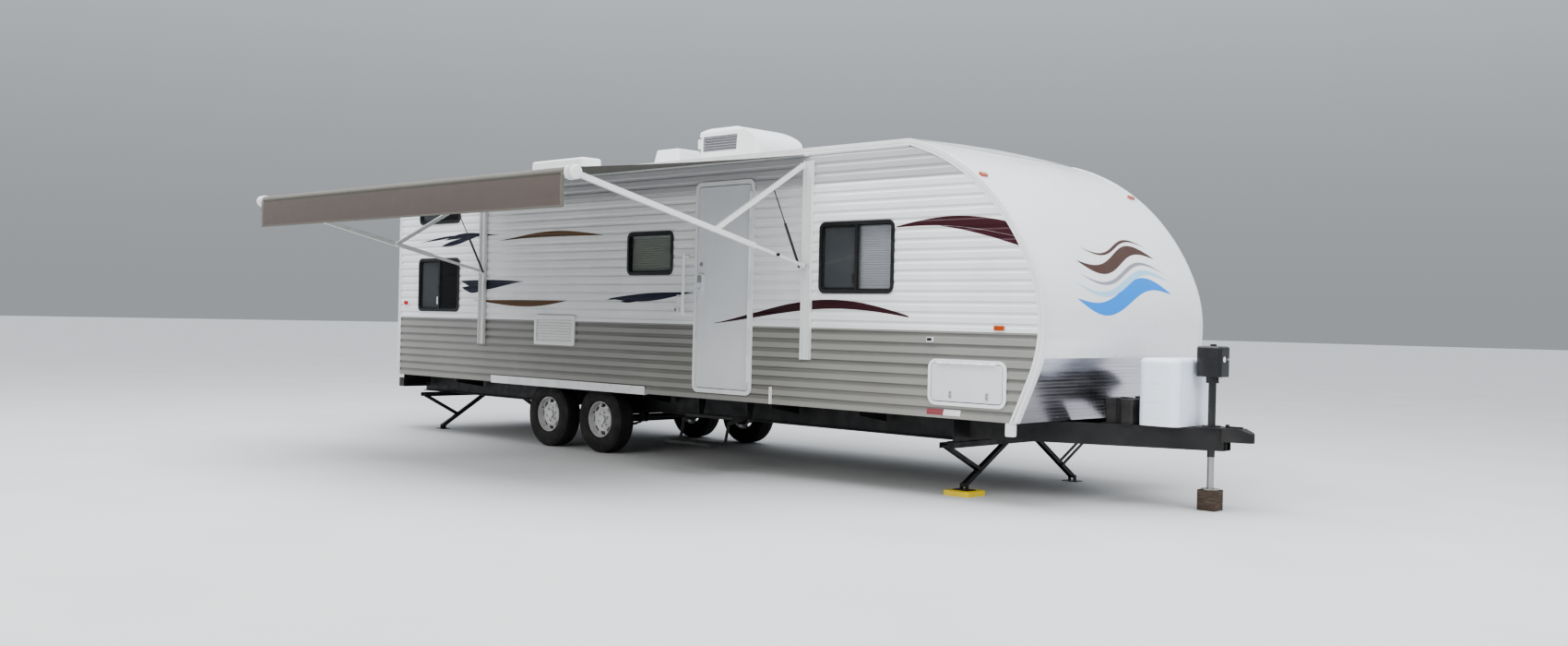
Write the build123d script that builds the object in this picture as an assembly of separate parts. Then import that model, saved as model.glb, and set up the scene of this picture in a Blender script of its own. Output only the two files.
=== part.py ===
from build123d import *
from math import asin, atan2, cos, degrees, radians, sin, sqrt, tan
import os

# A travel trailer (caravan) parked on its tongue jack with the side awning open.
# Millimetres. While the pieces are made, x = 0 is the outer face of the rear wall and +X
# points to the hitch, y = 0 is the centre plane and +Y is the left side, z = 0 is the ground.
# The door and awning side is -Y. At the end everything is moved so that the origin is the
# middle of the footprint on the ground.
# A name that ends in _UP is a height above the body's lower edge, the skirt.

# Running gear
WHEEL_XS = {"front": 3580, "rear": 2735}
WHEEL_Y = 1000
TYRE_R = 332
TYRE_W = 203
TREAD_SHARE = 0.78
BEAD_SHARE = 0.72
TREAD_CROWN = 5
RIM_R = 178
RIM_W = 160
RIM_WALL = 5
DISC_T = 6
DISC_OUT = 34
DISC_DISH = 12
BOLT_FACE_R = 85
CREASE_R = 112
HAND_HOLES = 8
HAND_HOLE_R0 = 122
HAND_HOLE_R1 = 158
HAND_HOLE_ANGLE = 13
HAND_HOLE_CORNER = 6
HUB_R = 42
HUB_OUT = 60
HUB_CAP_T = 8
DRUM_R = 128
DRUM_WALL = 8
DRUM_DEPTH = 60
DRUM_IN = 96
AXLE_R = 38
AXLE_END_Y = 890
SPINDLE_R = 20
SPINDLE_END_Y = 1040
SPINDLE_CLEAR = 0.3
PLATE_R = 132
PLATE_T = 8
SPRING_SPAN = 635
SPRING_W = 45
SPRING_CAMBER = 51.5
LEAF_T = 6.5
LEAF_SHARES = (1, 0.8, 0.6, 0.4)
SPRING_EYE_R = 16
SPRING_PIN_R = 8.7
SEAT_HALF_L = 60
SEAT_T = 10
U_BOLT_T = 12
TIE_PLATE_T = 10
HANGER_T = 8
HANGER_DROP = 85
HANGER_TOP = 45
HANGER_FOOT = 25
ROCKER_PIVOT_UP = 30
ROCKER_TIP = 16
ROCKER_TIP_UP = 22
ROCKER_TIP_H = 22
WELL_CLEAR = 73
WELL_Y = 850
WELL_UP = 167
WELL_T = 8

# Chassis
RAIL_Y = 780
RAIL_H = 203
RAIL_FLANGE = 76
RAIL_WEB = 6
RAIL_FLANGE_T = 9
RAIL_REAR_X = -80
HEADER_X = 7800
HEADER_T = 60
HEADER_Y = 1000
CROSS_H = 100
CROSS_T = 6
CROSS_W = 50
CROSS_XS = (60, 1150, 2240, 4130, 5330, 6530)
OUTRIGGER_XS = (60, 1150, 4330, 6030, 7030)
OUTRIGGER_TIP = 40
BUMPER_SIZE = 102
BUMPER_Y = 1080
BUMPER_WALL = 5

# Body shell
BODY_WIDTH = 2438
BODY_H = 2174
ROOF_CROWN = 30
ROOF_T = 60
ROOF_SHOULDER = 60
FLOOR_T = 75
WALL_T = 50
SIDING_T = 10
SHELL_T = 45
TRIM_T = 4
TRIM_W = 50
GROOVE_W = 14
GROOVE_T = 1.5
SEAM_W = 24
SEAM_T = 3

# Siding ribs
RIB_PITCH = 82
RIB_FLAT = 42
RIB_BEVEL = 13
RIB_DEPTH = 7
SHEET_GAP = 0.5

# Nose of the body seen from the side: a straight lean, a tight arc and a wide arc
NOSE_FOOT_X = 8583
NOSE_LEAN = 23.8
NOSE_R_LOW = 1004
NOSE_SWEEP = 45
NOSE_R_HIGH = 1793
NOSE_TOP_ANGLE = 75
GUARD_UP = 500

# Windows
FRAME_LIP = 8
FRAME_W = 32
FRAME_BEVEL = 3
FRAME_OVERLAP = 14
FRAME_CORNER = 62
GLASS_T = 6
GLASS_IN = 12
MULLION_W = 30

# Entry door and its hinge
DOOR_X0 = 5076
DOOR_X1 = 5834
DOOR_UP = 56
DOOR_H = 1898
DOOR_FRAME_W = 40
DOOR_FRAME_T = 12
DOOR_CORNER = 70
DOOR_T = 42
DOOR_FLANGE = 24
LEAF_GAP = 6
LEAF_RIM_W = 20
LEAF_RIM_T = 3
STOP_W = 10
STOP_T = 10
HINGE_R = 9
PIN_R = 5
PIN_CLEAR = 0.3
STRAP_T = 3
KNUCKLE_GAP = 6
DOOR_KNUCKLES = 7
LATCH_W = 80
LATCH_H = 160
LATCH_OUT = 22
LATCH_CORNER = 12
LATCH_RECESS = 15
LATCH_UP = 1047
LATCH_SET = 53

# Storage doors
HATCH_X0 = 7772
HATCH_X1 = 8497
HATCH_UP = 99
HATCH_H = 355
HATCH_FRAME_W = 28
HATCH_T = 34
HATCH_CORNER = 70
HATCH_FLANGE = 18
HATCH_KNUCKLES = 9
HATCH_HINGE_SET = 90
THUMB_XS = (7990, 8330)
THUMB_SET = 24
THUMB_W = 26
THUMB_H = 44
THUMB_OUT = 6
THUMB_CORNER = 9

# Drawbar
DRAW_H = 165
DRAW_W = 51
DRAW_WALL = 5
DRAW_DROP = 13
DRAW_TIP_X = 9640
DRAW_TIP_Y = 62
COUPLER_X0 = 9440
COUPLER_HALF_W = 140
COUPLER_PLATE_T = 8
COUPLER_H = 95
COUPLER_SLOPE_L = 90
COUPLER_SLOPE_H = 36
BALL_X = 9798
BALL_R = 30.2
BALL_DEPTH = 45
COUPLER_NOSE_R = 52
LEVER_L = 130
LEVER_W = 22
LEVER_T = 12
JACK_X = 9515
JACK_TUBE_R = 28.5
JACK_TUBE_WALL = 3
JACK_TUBE_DOWN = 220
JACK_TUBE_UP = 360
JACK_NECK_R = 48
JACK_HEAD_H = 230
JACK_HEAD_L = 200
JACK_HEAD_W = 170
JACK_HEAD_CORNER = 30
JACK_HEAD_SOFT = 20
JACK_CAP_R = 24
JACK_CAP_H = 14
JACK_FLANGE_R = 70
JACK_FLANGE_T = 10
JACK_SLIDE_GAP = 0.3
JACK_LEG_WALL = 4
JACK_LEG_IN = 330
JACK_FOOT_R = 66
JACK_FOOT_T = 8
BLOCK_L = 140
BLOCK_H = 155
BLOCK_GAP = 0.3

# Gas and battery on the drawbar
TRAY_T = 4
TRAY_INSET = 15
COVER_X0 = 9060
COVER_X1 = 9390
COVER_HALF_W = 320
COVER_H = 511
COVER_WALL = 5
COVER_CORNER = 75
COVER_SOFT = 40
COVER_GROOVES = (0.85, 0.61, 0.33, 0.1)
COVER_GROOVE_L = 150
COVER_GROOVE_H = 9
COVER_GROOVE_T = 3
COVER_GROOVE_CORNER = 3
COVER_FLUTE_Y = 215
COVER_FLUTE_W = 42
COVER_FLUTE_H = 330
COVER_FLUTE_CORNER = 14
BATTERY_X0 = 8790
BATTERY_X1 = 9030
BATTERY_W = 190
BATTERY_H = 191
BATTERY_Y = 130
BATTERY_CORNER = 20
LID_H = 48
LID_OUT = 6
LID_SOFT = 10
RACK_MARGIN = 40
RACK_LIP = 10

# Wheel side strips
SKIRT_X0 = 1900
SKIRT_H = 70
SKIRT_T = 8
SKIRT_DROP = 10
SKIRT_RETURN = 30

# Stabilizers
BEAM_XS = {"front": 7830, "rear": 330}
BEAM_H = 45
BEAM_W = 90
BEAM_WALL = 5
BEAM_Y = 1080
BEAM_PIN_R = 7
BEAM_PIN_DROP = 28
LEG_Y = 220
LEG_W = 42
LEG_H = 36
LEG_WALL = 4
FOOT_Y = 800
FOOT_Z = 40
FOOT_L = 150
FOOT_W = 100
FOOT_T = 6
FOOT_PIN_R = 8
LUG_GAP = 2
LUG_T = 6
LUG_HALF = 20
LUG_OVER = 14
BRACE_Y = 1055
BRACE_AT = 0.66
BRACE_H = 26
BRACE_T = 6
BRACE_GAP = 3
PAD_SIZE = 250
PAD_H = 40
PAD_CORNER = 25
PAD_SOFT = 5

# Tanks under the floor
TANK_TABLE = (
    # x0, x1, half width, drop below the skirt
    (1190, 2200, 560, 163),
    (4170, 5290, 600, 193),
    (5370, 6490, 600, 193),
)
TANK_SOFT = 40

# Entry step
STEP_X0 = 5140
STEP_X1 = 5770
STEP_PIVOT_IN = 54
STEP_PIVOT_DROP = 138
STEP_REACH = 230
STEP_JOINT_DROP = 45
STEP_LOW_DROP = 180
STEP_LOW_SET = 40
TREAD_DEPTH = 175
TREAD_T = 22
TREAD_WALL = 3
TREAD_SET = 40
TREAD_RISE = 4
TREAD_SLOTS = 7
TREAD_ROWS = 2
TREAD_SLOT_L = 46
TREAD_SLOT_W = 12
STEP_ARM_W = 30
STEP_ARM_T = 6
STEP_PIN_R = 8
STEP_SIDE_GAP = 6
STEP_CHEEK_HALF = 25
STEP_CHEEK_DROP = 20
STEP_CHEEK_IN = 60
STEP_CHEEK_OUT = 40

# Roof fittings, with heights above the crown of the roof
AC_X0 = 4090
AC_X1 = 4960
AC_HALF_W = 350
AC_H = 423
AC_PAN_H = 50
AC_CORNER = 80
AC_REAR_SET = 75
AC_LID_OUT = 25
AC_LOBE_UP = 225
AC_LOBE_H = 85
AC_LID_UP = 335
AC_REAR_H = 385
AC_SHOULDER_X = 95
AC_SHOULDER_H = 95
AC_BROW_X = 22
AC_BROW_H = 165
AC_FRONT_H = 245
AC_SIDE_ANGLE = 86
AC_EDGE_R = 70
AC_GRILLE_X0 = 4190
AC_GRILLE_X1 = 4675
AC_GRILLE_T = 45
AC_BLADES = 6
HOOD_X = 3460
HOOD_HALF_L = 240
HOOD_HALF_W = 235
HOOD_H = 283
HOOD_CORNER = 100
HOOD_TAPER = 14
HOOD_SOFT = 18
HOOD_MOUTH_HALF = 150
HOOD_MOUTH_UP = 60
HOOD_MOUTH_T = 60
HOOD_BLADES = 5
CAPPED_X0 = 2400
CAPPED_X1 = 3280
CAPPED_IN = 219
CAPPED_HALF_W = 130
CAPPED_H = 140
CAPPED_NECK = 45
CAPPED_INSET = 35
CAPPED_CORNER = 50
CAPPED_SOFT = 30

# Lamps
SIDE_LAMPS = (
    # x, height above the skirt, width, height
    (8426, 700, 90, 36),
    (170, 830, 70, 40),
)
LAMP_CORNER = 8
LAMP_T = 16
CAP_LAMP_ANGLE = 52.4
CAP_LAMP_IN = 109
CAP_LAMP_W = 90
CAP_LAMP_H = 36
TAIL_IN = 99
TAIL_W = 160
TAIL_H = 180
TAIL_UP = 267
TAIL_T = 28
TAIL_BASE_T = 8
TAIL_CORNER = 20

# Awning, open
CHANNEL_XS = (1720, 6480)
CHANNEL_W = 100
CHANNEL_T = 36
CHANNEL_WALL = 4
CHANNEL_UP = 397
CHANNEL_TOP_GAP = 107
RAIL_DROP = 55
RAIL_T = 18
RAIL_HALF_H = 12
ROLLER_OUT = 2481
ROLLER_UP = 1742
ROLLER_R = 40
ROLLER_CAP_R = 55
ROLLER_CAP_T = 25
FABRIC_T = 3
FABRIC_MARGIN = 35
FABRIC_GAP = 0.3
VALANCE_DROP = 250
ARM_W = 30
ARM_H = 42
ARM_SHARE = 0.75
ARM_LAP = 150
LINK_W = 20
LINK_H = 26
ARM_FOOT_UP = 1182
FOOT_GAP = 2
JOINT_SHARE = 0.58
KNOB_SHARE = 0.86
KNOB_R = 13
KNOB_T = 20
RAFTER_H = 36
RAFTER_W = 30
RAFTER_DROP = 147
STRUT_SHARE = 0.33
STRUT_R = 11
STRUT_ROD_R = 5
STRUT_BODY_SHARE = 0.55
STRUT_FOOT_UP = 1167
BRACKET_T = 5

# Small fittings on the walls
FITTINGS = (
    # side, x, height above the skirt, width, height
    ("right", 4890, 882, 70, 110),
    ("right", 4840, 797, 60, 60),
    ("right", 7785, 600, 60, 40),
    ("right", 6075, 75, 22, 150),
    ("left", 2450, 517, 120, 120),
    ("left", 1500, 267, 110, 110),
)
FITTING_T = 18
FITTING_CORNER = 8
CORNER_PLATE_X = 8490
CORNER_PLATE_L = 80
CORNER_PLATE_H = 100
CORNER_PLATE_T = 30
CORNER_PLATE_R = 12
HANDLE_X = 4985
HANDLE_OUT = 60
HANDLE_R = 14
HANDLE_UP = 747
HANDLE_L = 560
HANDLE_END = 20
VENT_X0 = 2667
VENT_X1 = 3332
VENT_UP = 421
VENT_H = 302
VENT_T = 16
VENT_BACK = 4
VENT_RIM = 38
VENT_CORNER = 20
VENT_BLADES = 8
BLADE_T = 3
BLADE_START = 0.25

# Derived places
HALF_W = BODY_WIDTH / 2
SPRING_SEAT_Z = TYRE_R - AXLE_R - SEAT_T
SPRING_T = LEAF_T * len(LEAF_SHARES)
SPRING_EYE_Z = SPRING_SEAT_Z - LEAF_T + SPRING_CAMBER + SPRING_EYE_R
RAIL_BOTTOM_Z = SPRING_EYE_Z + HANGER_DROP
SKIRT_Z = RAIL_BOTTOM_Z + RAIL_H
SIDE_TOP_Z = SKIRT_Z + BODY_H
CROWN_Z = SIDE_TOP_Z + ROOF_CROWN
FLOOR_TOP_Z = SKIRT_Z + FLOOR_T
WALL_TOP_Z = SIDE_TOP_Z - ROOF_T
WALL_IN_Y = HALF_W - WALL_T
SIDING_Y = HALF_W - SIDING_T
LIP_Y = HALF_W + FRAME_LIP
GUARD_TOP_Z = SKIRT_Z + GUARD_UP
HEADER_FRONT_X = HEADER_X + HEADER_T
DRAW_TOP_Z = SKIRT_Z - DRAW_DROP
COUPLER_Z0 = DRAW_TOP_Z - COUPLER_H
TRAY_TOP_Z = DRAW_TOP_Z + TRAY_T
WELL_X0 = WHEEL_XS["rear"] - TYRE_R - WELL_CLEAR
WELL_X1 = WHEEL_XS["front"] + TYRE_R + WELL_CLEAR
WELL_TOP_Z = SKIRT_Z + WELL_UP
DOOR_Z0 = SKIRT_Z + DOOR_UP
DOOR_Z1 = DOOR_Z0 + DOOR_H
HATCH_Z0 = SKIRT_Z + HATCH_UP
HATCH_Z1 = HATCH_Z0 + HATCH_H

# Windows by side: x0, x1, and the lower and upper edge above the skirt, whether a slider
WINDOWS = {
    "right": (
        (420, 1250, 736, 1336, True),
        (420, 1250, 1717, 2037, True),
        (4117, 4777, 1120, 1532, False),
        (6600, 7405, 954, 1547, True),
    ),
    "left": (
        (420, 1250, 736, 1336, True),
        (3150, 4050, 1120, 1532, True),
        (4550, 5950, 787, 1447, True),
        (6600, 7405, 954, 1547, True),
    ),
}
SIDES = {"right": -1, "left": 1}


# Shape helpers
def block(x0, x1, y0, y1, z0, z1):
    """A block between two corners."""
    return Pos((x0 + x1) / 2, (y0 + y1) / 2, (z0 + z1) / 2) * Box(x1 - x0, y1 - y0, z1 - z0)


def slab_xz(sketch, y0, y1):
    """A side view in x and z, given thickness from y0 to y1."""
    return extrude(Plane.XZ.offset(-y1) * sketch, amount=y1 - y0, dir=(0, -1, 0))


def slab_yz(sketch, x0, x1):
    """A front view in y and z, given thickness from x0 to x1."""
    return extrude(Plane.YZ.offset(x0) * sketch, amount=x1 - x0, dir=(1, 0, 0))


def slab_xy(sketch, z0, z1):
    """A plan in x and y, given height from z0 to z1."""
    return extrude(Plane.XY.offset(z0) * sketch, amount=z1 - z0, dir=(0, 0, 1))


def rounded(x0, x1, z0, z1, corner):
    """A rectangle with round corners."""
    return Pos((x0 + x1) / 2, (z0 + z1) / 2) * RectangleRounded(x1 - x0, z1 - z0, corner)


def rod(start, end, radius, bore=0):
    """A round bar, or a tube where bore is given, between two points."""
    axis = Vector(*end) - Vector(*start)
    ring = Circle(radius)
    if bore:
        ring -= Circle(bore)
    return extrude(Plane(origin=start, z_dir=axis.normalized()) * ring, amount=axis.length)


def bar_yz(start, end, height, x0, x1):
    """A flat bar between two points (y, z) with round ends, from x0 to x1."""
    run = Vector(end[0] - start[0], end[1] - start[1])
    middle = Vector(start[0] + end[0], start[1] + end[1]) / 2
    turn = degrees(atan2(run.Y, run.X))
    sketch = Pos(middle.X, middle.Y) * Rot(0, 0, turn) * SlotOverall(run.length + height, height)
    return slab_yz(sketch, x0, x1)


def between(start, end, share):
    """The point (y, z) at a share of the way between two points."""
    return tuple(a + (b - a) * share for a, b in zip(start, end))


def inboard(x, inward, near, far):
    """The x range between two distances measured inwards from a side."""
    return sorted((x + inward * near, x + inward * far))


def ring_band(centre, inner, outer, start, end):
    """A band of a ring between two angles in degrees."""
    edges = [CenterArc(centre, r, start, end - start) for r in (inner, outer)]
    for angle in (start, end):
        out = Vector(cos(radians(angle)), sin(radians(angle)))
        edges.append(Line(centre + out * inner, centre + out * outer))
    return make_face(edges)


def blade_yz(y_out, y_in, z, rise):
    """Section of a louvre blade that rises from its outer edge to its inner edge."""
    return make_face(Polyline((y_out, z), (y_in, z + rise), (y_in, z + rise + BLADE_T), (y_out, z + BLADE_T),
                              close=True))


def left_too(shape):
    """A right-hand piece and its mirror image on the left."""
    return [shape, mirror(shape, about=Plane.XZ)]


def outward(shape, side):
    """A piece drawn on the right, put on its own side."""
    return shape if side == "right" else mirror(shape, about=Plane.XZ)


# Outline of the nose
LEAN = radians(NOSE_LEAN)
JOIN = radians(NOSE_SWEEP) - LEAN
LOW_CENTRE_Z = (
    SIDE_TOP_Z - NOSE_R_HIGH * sin(radians(NOSE_TOP_ANGLE)) + (NOSE_R_HIGH - NOSE_R_LOW) * sin(JOIN)
)
NOSE_RUN = (LOW_CENTRE_Z - SKIRT_Z - NOSE_R_LOW * sin(LEAN)) / cos(LEAN)
LOW_CENTRE = Vector(NOSE_FOOT_X + NOSE_RUN * sin(LEAN) - NOSE_R_LOW * cos(LEAN), LOW_CENTRE_Z)
HIGH_CENTRE = LOW_CENTRE - Vector(cos(JOIN), sin(JOIN)) * (NOSE_R_HIGH - NOSE_R_LOW)


def nose_angle(z, inset):
    """Angle of the nose line at a height; below the arcs it goes on with the run down the lean."""
    lean_top = LOW_CENTRE.Y - (NOSE_R_LOW - inset) * sin(LEAN)
    if z < lean_top:
        return (z - lean_top) / cos(LEAN) / NOSE_R_LOW - LEAN
    low = asin(max(-1, min(1, (z - LOW_CENTRE.Y) / (NOSE_R_LOW - inset))))
    if low <= JOIN:
        return low
    return asin((z - HIGH_CENTRE.Y) / (NOSE_R_HIGH - inset))


def nose_point(angle, inset):
    """Point of the nose line at an angle."""
    centre, radius = (LOW_CENTRE, NOSE_R_LOW) if angle <= JOIN else (HIGH_CENTRE, NOSE_R_HIGH)
    bent = max(angle, -LEAN)
    run = (bent - angle) * NOSE_R_LOW
    return centre + Vector(cos(bent), sin(bent)) * (radius - inset) - Vector(sin(LEAN), cos(LEAN)) * run


def nose_edges(inset, start, end):
    """Edges of the nose line between two angles."""
    edges = []
    if start < -LEAN:
        edges.append(Line(nose_point(start, inset), nose_point(min(end, -LEAN), inset)))
        start = -LEAN
    stop = min(end, JOIN)
    if start < stop:
        edges.append(CenterArc(LOW_CENTRE, NOSE_R_LOW - inset, degrees(start), degrees(stop - start)))
    if end > JOIN:
        begin = max(start, JOIN)
        edges.append(CenterArc(HIGH_CENTRE, NOSE_R_HIGH - inset, degrees(begin), degrees(end - begin)))
    return edges


def nose_band(out, inset, starts, end):
    """A strip along the nose between two insets, with the angle where each of its two sides starts."""
    edges = nose_edges(out, starts[0], end) + nose_edges(inset, starts[1], end)
    edges.append(Line(nose_point(starts[0], out), nose_point(starts[1], inset)))
    edges.append(Line(nose_point(end, out), nose_point(end, inset)))
    return make_face(edges)


def side_outline(rear_x, top_z, inset):
    """The side view of the body behind a nose that is set inwards."""
    start = nose_angle(SKIRT_Z, inset)
    end = nose_angle(top_z, inset)
    edges = nose_edges(inset, start, end)
    edges.append(Polyline(nose_point(end, inset), (rear_x, top_z), (rear_x, SKIRT_Z), nose_point(start, inset)))
    return make_face(edges)


TOP_ANGLE = radians(NOSE_TOP_ANGLE)
GUARD_ANGLE = nose_angle(GUARD_TOP_Z, 0)
NOSE_TOP = nose_point(TOP_ANGLE, 0)


def window_spots(side):
    """The windows of a side with their real heights."""
    return [(x0, x1, SKIRT_Z + low, SKIRT_Z + high, slider) for x0, x1, low, high, slider in WINDOWS[side]]


def window_cuts(side):
    """The holes that the windows of a side need, in the side view."""
    d = FRAME_OVERLAP
    return [rounded(x0 + d, x1 - d, z0 + d, z1 - d, FRAME_CORNER - d) for x0, x1, z0, z1, slider in window_spots(side)]


def door_cut():
    """The hole in the wall for the entry door's frame."""
    d = DOOR_FRAME_W - DOOR_FRAME_T
    return rounded(DOOR_X0 + d, DOOR_X1 - d, DOOR_Z0 + d, DOOR_Z1 - d, DOOR_CORNER - d)


def hatch_cut():
    """The hole in the wall for a storage door's frame."""
    d = HATCH_FRAME_W - DOOR_FRAME_T
    return rounded(HATCH_X0 + d, HATCH_X1 - d, HATCH_Z0 + d, HATCH_Z1 - d, HATCH_CORNER - d)


def side_cuts(side):
    """All holes in one side wall."""
    cuts = window_cuts(side) + [hatch_cut()]
    if side == "right":
        cuts.append(door_cut())
    return cuts


def side_wall(side):
    """The framed wall behind the siding."""
    sketch = side_outline(SIDING_T, WALL_TOP_Z, SHELL_T)
    for cut in side_cuts(side):
        sketch -= cut
    return outward(slab_xz(sketch, -SIDING_Y, -WALL_IN_Y), side)


def rib_profile(z0, z1, face, base):
    """Section of ribbed sheet: points (distance from the centre plane, height) up its outer face."""
    points = [(base, z0)]
    z = z0
    while z < z1:
        for step, out in ((0, face), (RIB_FLAT, face), (RIB_FLAT + RIB_BEVEL, face - RIB_DEPTH),
                          (RIB_PITCH - RIB_BEVEL, face - RIB_DEPTH)):
            points.append((out, min(z + step, z1)))
            if z + step >= z1:
                break
        z += RIB_PITCH
    points.append((base, z1))
    return points


def siding(side):
    """Ribbed metal siding on one side."""
    section = make_face(Polyline(*[(-y, z) for y, z in rib_profile(SKIRT_Z, WALL_TOP_Z, HALF_W, SIDING_Y)],
                                 close=True))
    sheet = slab_yz(section, 0, nose_point(0, 0).X)
    outline = side_outline(SIDING_T + SHEET_GAP, WALL_TOP_Z, SHELL_T)
    for cut in side_cuts(side):
        outline -= cut
    return outward(sheet & slab_xz(outline, -HALF_W, -SIDING_Y), side)


def rear_wall():
    """The framed rear wall between the side walls."""
    return block(SIDING_T, WALL_T, -WALL_IN_Y, WALL_IN_Y, SKIRT_Z, WALL_TOP_Z)


def rear_siding():
    """Ribbed metal siding on the rear wall."""
    points = [(HALF_W - y, z) for y, z in rib_profile(SKIRT_Z, WALL_TOP_Z, HALF_W, SIDING_Y)]
    return slab_xz(make_face(Polyline(*points, close=True)), -HALF_W, HALF_W)


def floor():
    """The floor panel between the walls, open over the wheels."""
    front = [nose_point(nose_angle(z, SHELL_T), SHELL_T).X for z in (SKIRT_Z, FLOOR_TOP_Z)]
    sketch = make_face(Polyline((WALL_T, SKIRT_Z), (front[0], SKIRT_Z), (front[1], FLOOR_TOP_Z),
                                (WALL_T, FLOOR_TOP_Z), close=True))
    panel = slab_xz(sketch, -WALL_IN_Y, WALL_IN_Y)
    for y0, y1 in ((-WALL_IN_Y, -WELL_Y), (WELL_Y, WALL_IN_Y)):
        panel -= block(WELL_X0, WELL_X1, y0, y1, SKIRT_Z, FLOOR_TOP_Z)
    return panel


def wheel_wells():
    """Boxes over the wheels that stand up through the floor."""
    outer = block(WELL_X0, WELL_X1, -WALL_IN_Y, -WELL_Y, SKIRT_Z, WELL_TOP_Z)
    inner = block(WELL_X0 + WELL_T, WELL_X1 - WELL_T, -WALL_IN_Y, -WELL_Y - WELL_T,
                  SKIRT_Z, WELL_TOP_Z - WELL_T)
    return left_too(outer - inner)


def front_cap():
    """The moulded upper nose."""
    return slab_xz(nose_band(0, SHELL_T, (GUARD_ANGLE, GUARD_ANGLE), TOP_ANGLE), -HALF_W, HALF_W)


def rock_guard():
    """The chequered plate panel of the lower nose."""
    feet = [nose_angle(SKIRT_Z, d) for d in (0, SHELL_T)]
    return slab_xz(nose_band(0, SHELL_T, feet, GUARD_ANGLE), -HALF_W, HALF_W)


def roof():
    """The crowned roof panel."""
    flat_y = HALF_W - ROOF_SHOULDER
    section = make_face([
        Polyline((flat_y, SIDE_TOP_Z), (HALF_W, SIDE_TOP_Z), (HALF_W, WALL_TOP_Z),
                 (-HALF_W, WALL_TOP_Z), (-HALF_W, SIDE_TOP_Z), (-flat_y, SIDE_TOP_Z)),
        ThreePointArc((-flat_y, SIDE_TOP_Z), (0, CROWN_Z), (flat_y, SIDE_TOP_Z)),
    ])
    inner = nose_point(TOP_ANGLE, SHELL_T)
    lean = (NOSE_TOP.X - inner.X) / (NOSE_TOP.Y - inner.Y)
    side = make_face(Polyline((0, WALL_TOP_Z), (inner.X, WALL_TOP_Z), (inner.X, inner.Y),
                              (NOSE_TOP.X + lean * ROOF_CROWN, CROWN_Z), (0, CROWN_Z), close=True))
    return slab_yz(section, 0, NOSE_TOP.X + ROOF_CROWN) & slab_xz(side, -HALF_W, HALF_W)


def outline_ring(out, inset):
    """The side view of a moulding that follows the body's edge."""
    return side_outline(-out, SIDE_TOP_Z + out, -out) - side_outline(inset, SIDE_TOP_Z - inset, inset)


def edge_trims():
    """Grooved angle mouldings around each side: nose, roof edge and rear corner."""
    side = slab_xz(outline_ring(TRIM_T, TRIM_W), -HALF_W - TRIM_T, -HALF_W)
    middle = (TRIM_W - GROOVE_W) / 2
    side -= slab_xz(outline_ring(-middle, middle + GROOVE_W), -HALF_W - TRIM_T, -HALF_W - TRIM_T + GROOVE_T)
    lip = slab_xz(outline_ring(TRIM_T, 0), -HALF_W, -HALF_W + TRIM_W)
    keep = block(-TRIM_W, NOSE_FOOT_X + NOSE_R_LOW, -HALF_W - TRIM_W, 0, SKIRT_Z, SIDE_TOP_Z + TRIM_W)
    return left_too((side + lip) & keep)


def nose_seam():
    """The flat moulding over the joint of the lower nose panel and the cap."""
    half = SEAM_W / 2 / NOSE_R_LOW
    y = HALF_W - TRIM_W
    start = GUARD_ANGLE - half
    return slab_xz(nose_band(-SEAM_T, 0, (start, start), GUARD_ANGLE + half), -y, y)


def window_frames(side):
    """Rounded frames with a bevelled lip on the siding and a sleeve through the wall."""
    frames = []
    for x0, x1, z0, z1, slider in window_spots(side):
        d = FRAME_OVERLAP
        clear = rounded(x0 + FRAME_W, x1 - FRAME_W, z0 + FRAME_W, z1 - FRAME_W, FRAME_CORNER - FRAME_W)
        lip = slab_xz(rounded(x0, x1, z0, z1, FRAME_CORNER), -LIP_Y, -HALF_W)
        lip = chamfer(lip.edges().group_by(Axis.Y)[0], FRAME_BEVEL)
        sleeve = rounded(x0 + d, x1 - d, z0 + d, z1 - d, FRAME_CORNER - d)
        frame = lip + slab_xz(sleeve, -HALF_W, -WALL_IN_Y) - slab_xz(clear, -LIP_Y, -WALL_IN_Y)
        if slider:
            middle = (x0 + x1) / 2
            frame += block(middle - MULLION_W / 2, middle + MULLION_W / 2,
                           -HALF_W, -HALF_W + GLASS_IN, z0 + FRAME_W, z1 - FRAME_W)
        frames.append(outward(frame, side))
    return frames


def window_glass(side):
    """Panes inside the window frames."""
    panes = []
    for x0, x1, z0, z1, slider in window_spots(side):
        pane = rounded(x0 + FRAME_W, x1 - FRAME_W, z0 + FRAME_W, z1 - FRAME_W, FRAME_CORNER - FRAME_W)
        panes.append(outward(slab_xz(pane, -HALF_W + GLASS_IN, -HALF_W + GLASS_IN + GLASS_T), side))
    return panes


def hinge(length, count, flange):
    """A pinned hinge along +Z from the origin, with the wall plane at y = HINGE_R.

    Returns the fixed half, whose flange runs to +X, and the moving half, whose flange runs to -X."""
    step = length / count
    fixed = Cylinder(PIN_R, length, align=(Align.CENTER, Align.CENTER, Align.MIN))
    moving = []
    for i in range(count):
        z0 = 0 if i == 0 else i * step + KNUCKLE_GAP / 2
        z1 = length if i == count - 1 else (i + 1) * step - KNUCKLE_GAP / 2
        knuckle = rod((0, 0, z0), (0, 0, z1), HINGE_R)
        if i % 2 == 0:
            fixed += knuckle + block(0, flange, HINGE_R - STRAP_T, HINGE_R, z0, z1)
        else:
            knuckle += block(-flange, 0, HINGE_R - STRAP_T, HINGE_R, z0, z1)
            moving.append(knuckle - rod((0, 0, z0), (0, 0, z1), PIN_R + PIN_CLEAR))
    return fixed, moving


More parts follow.
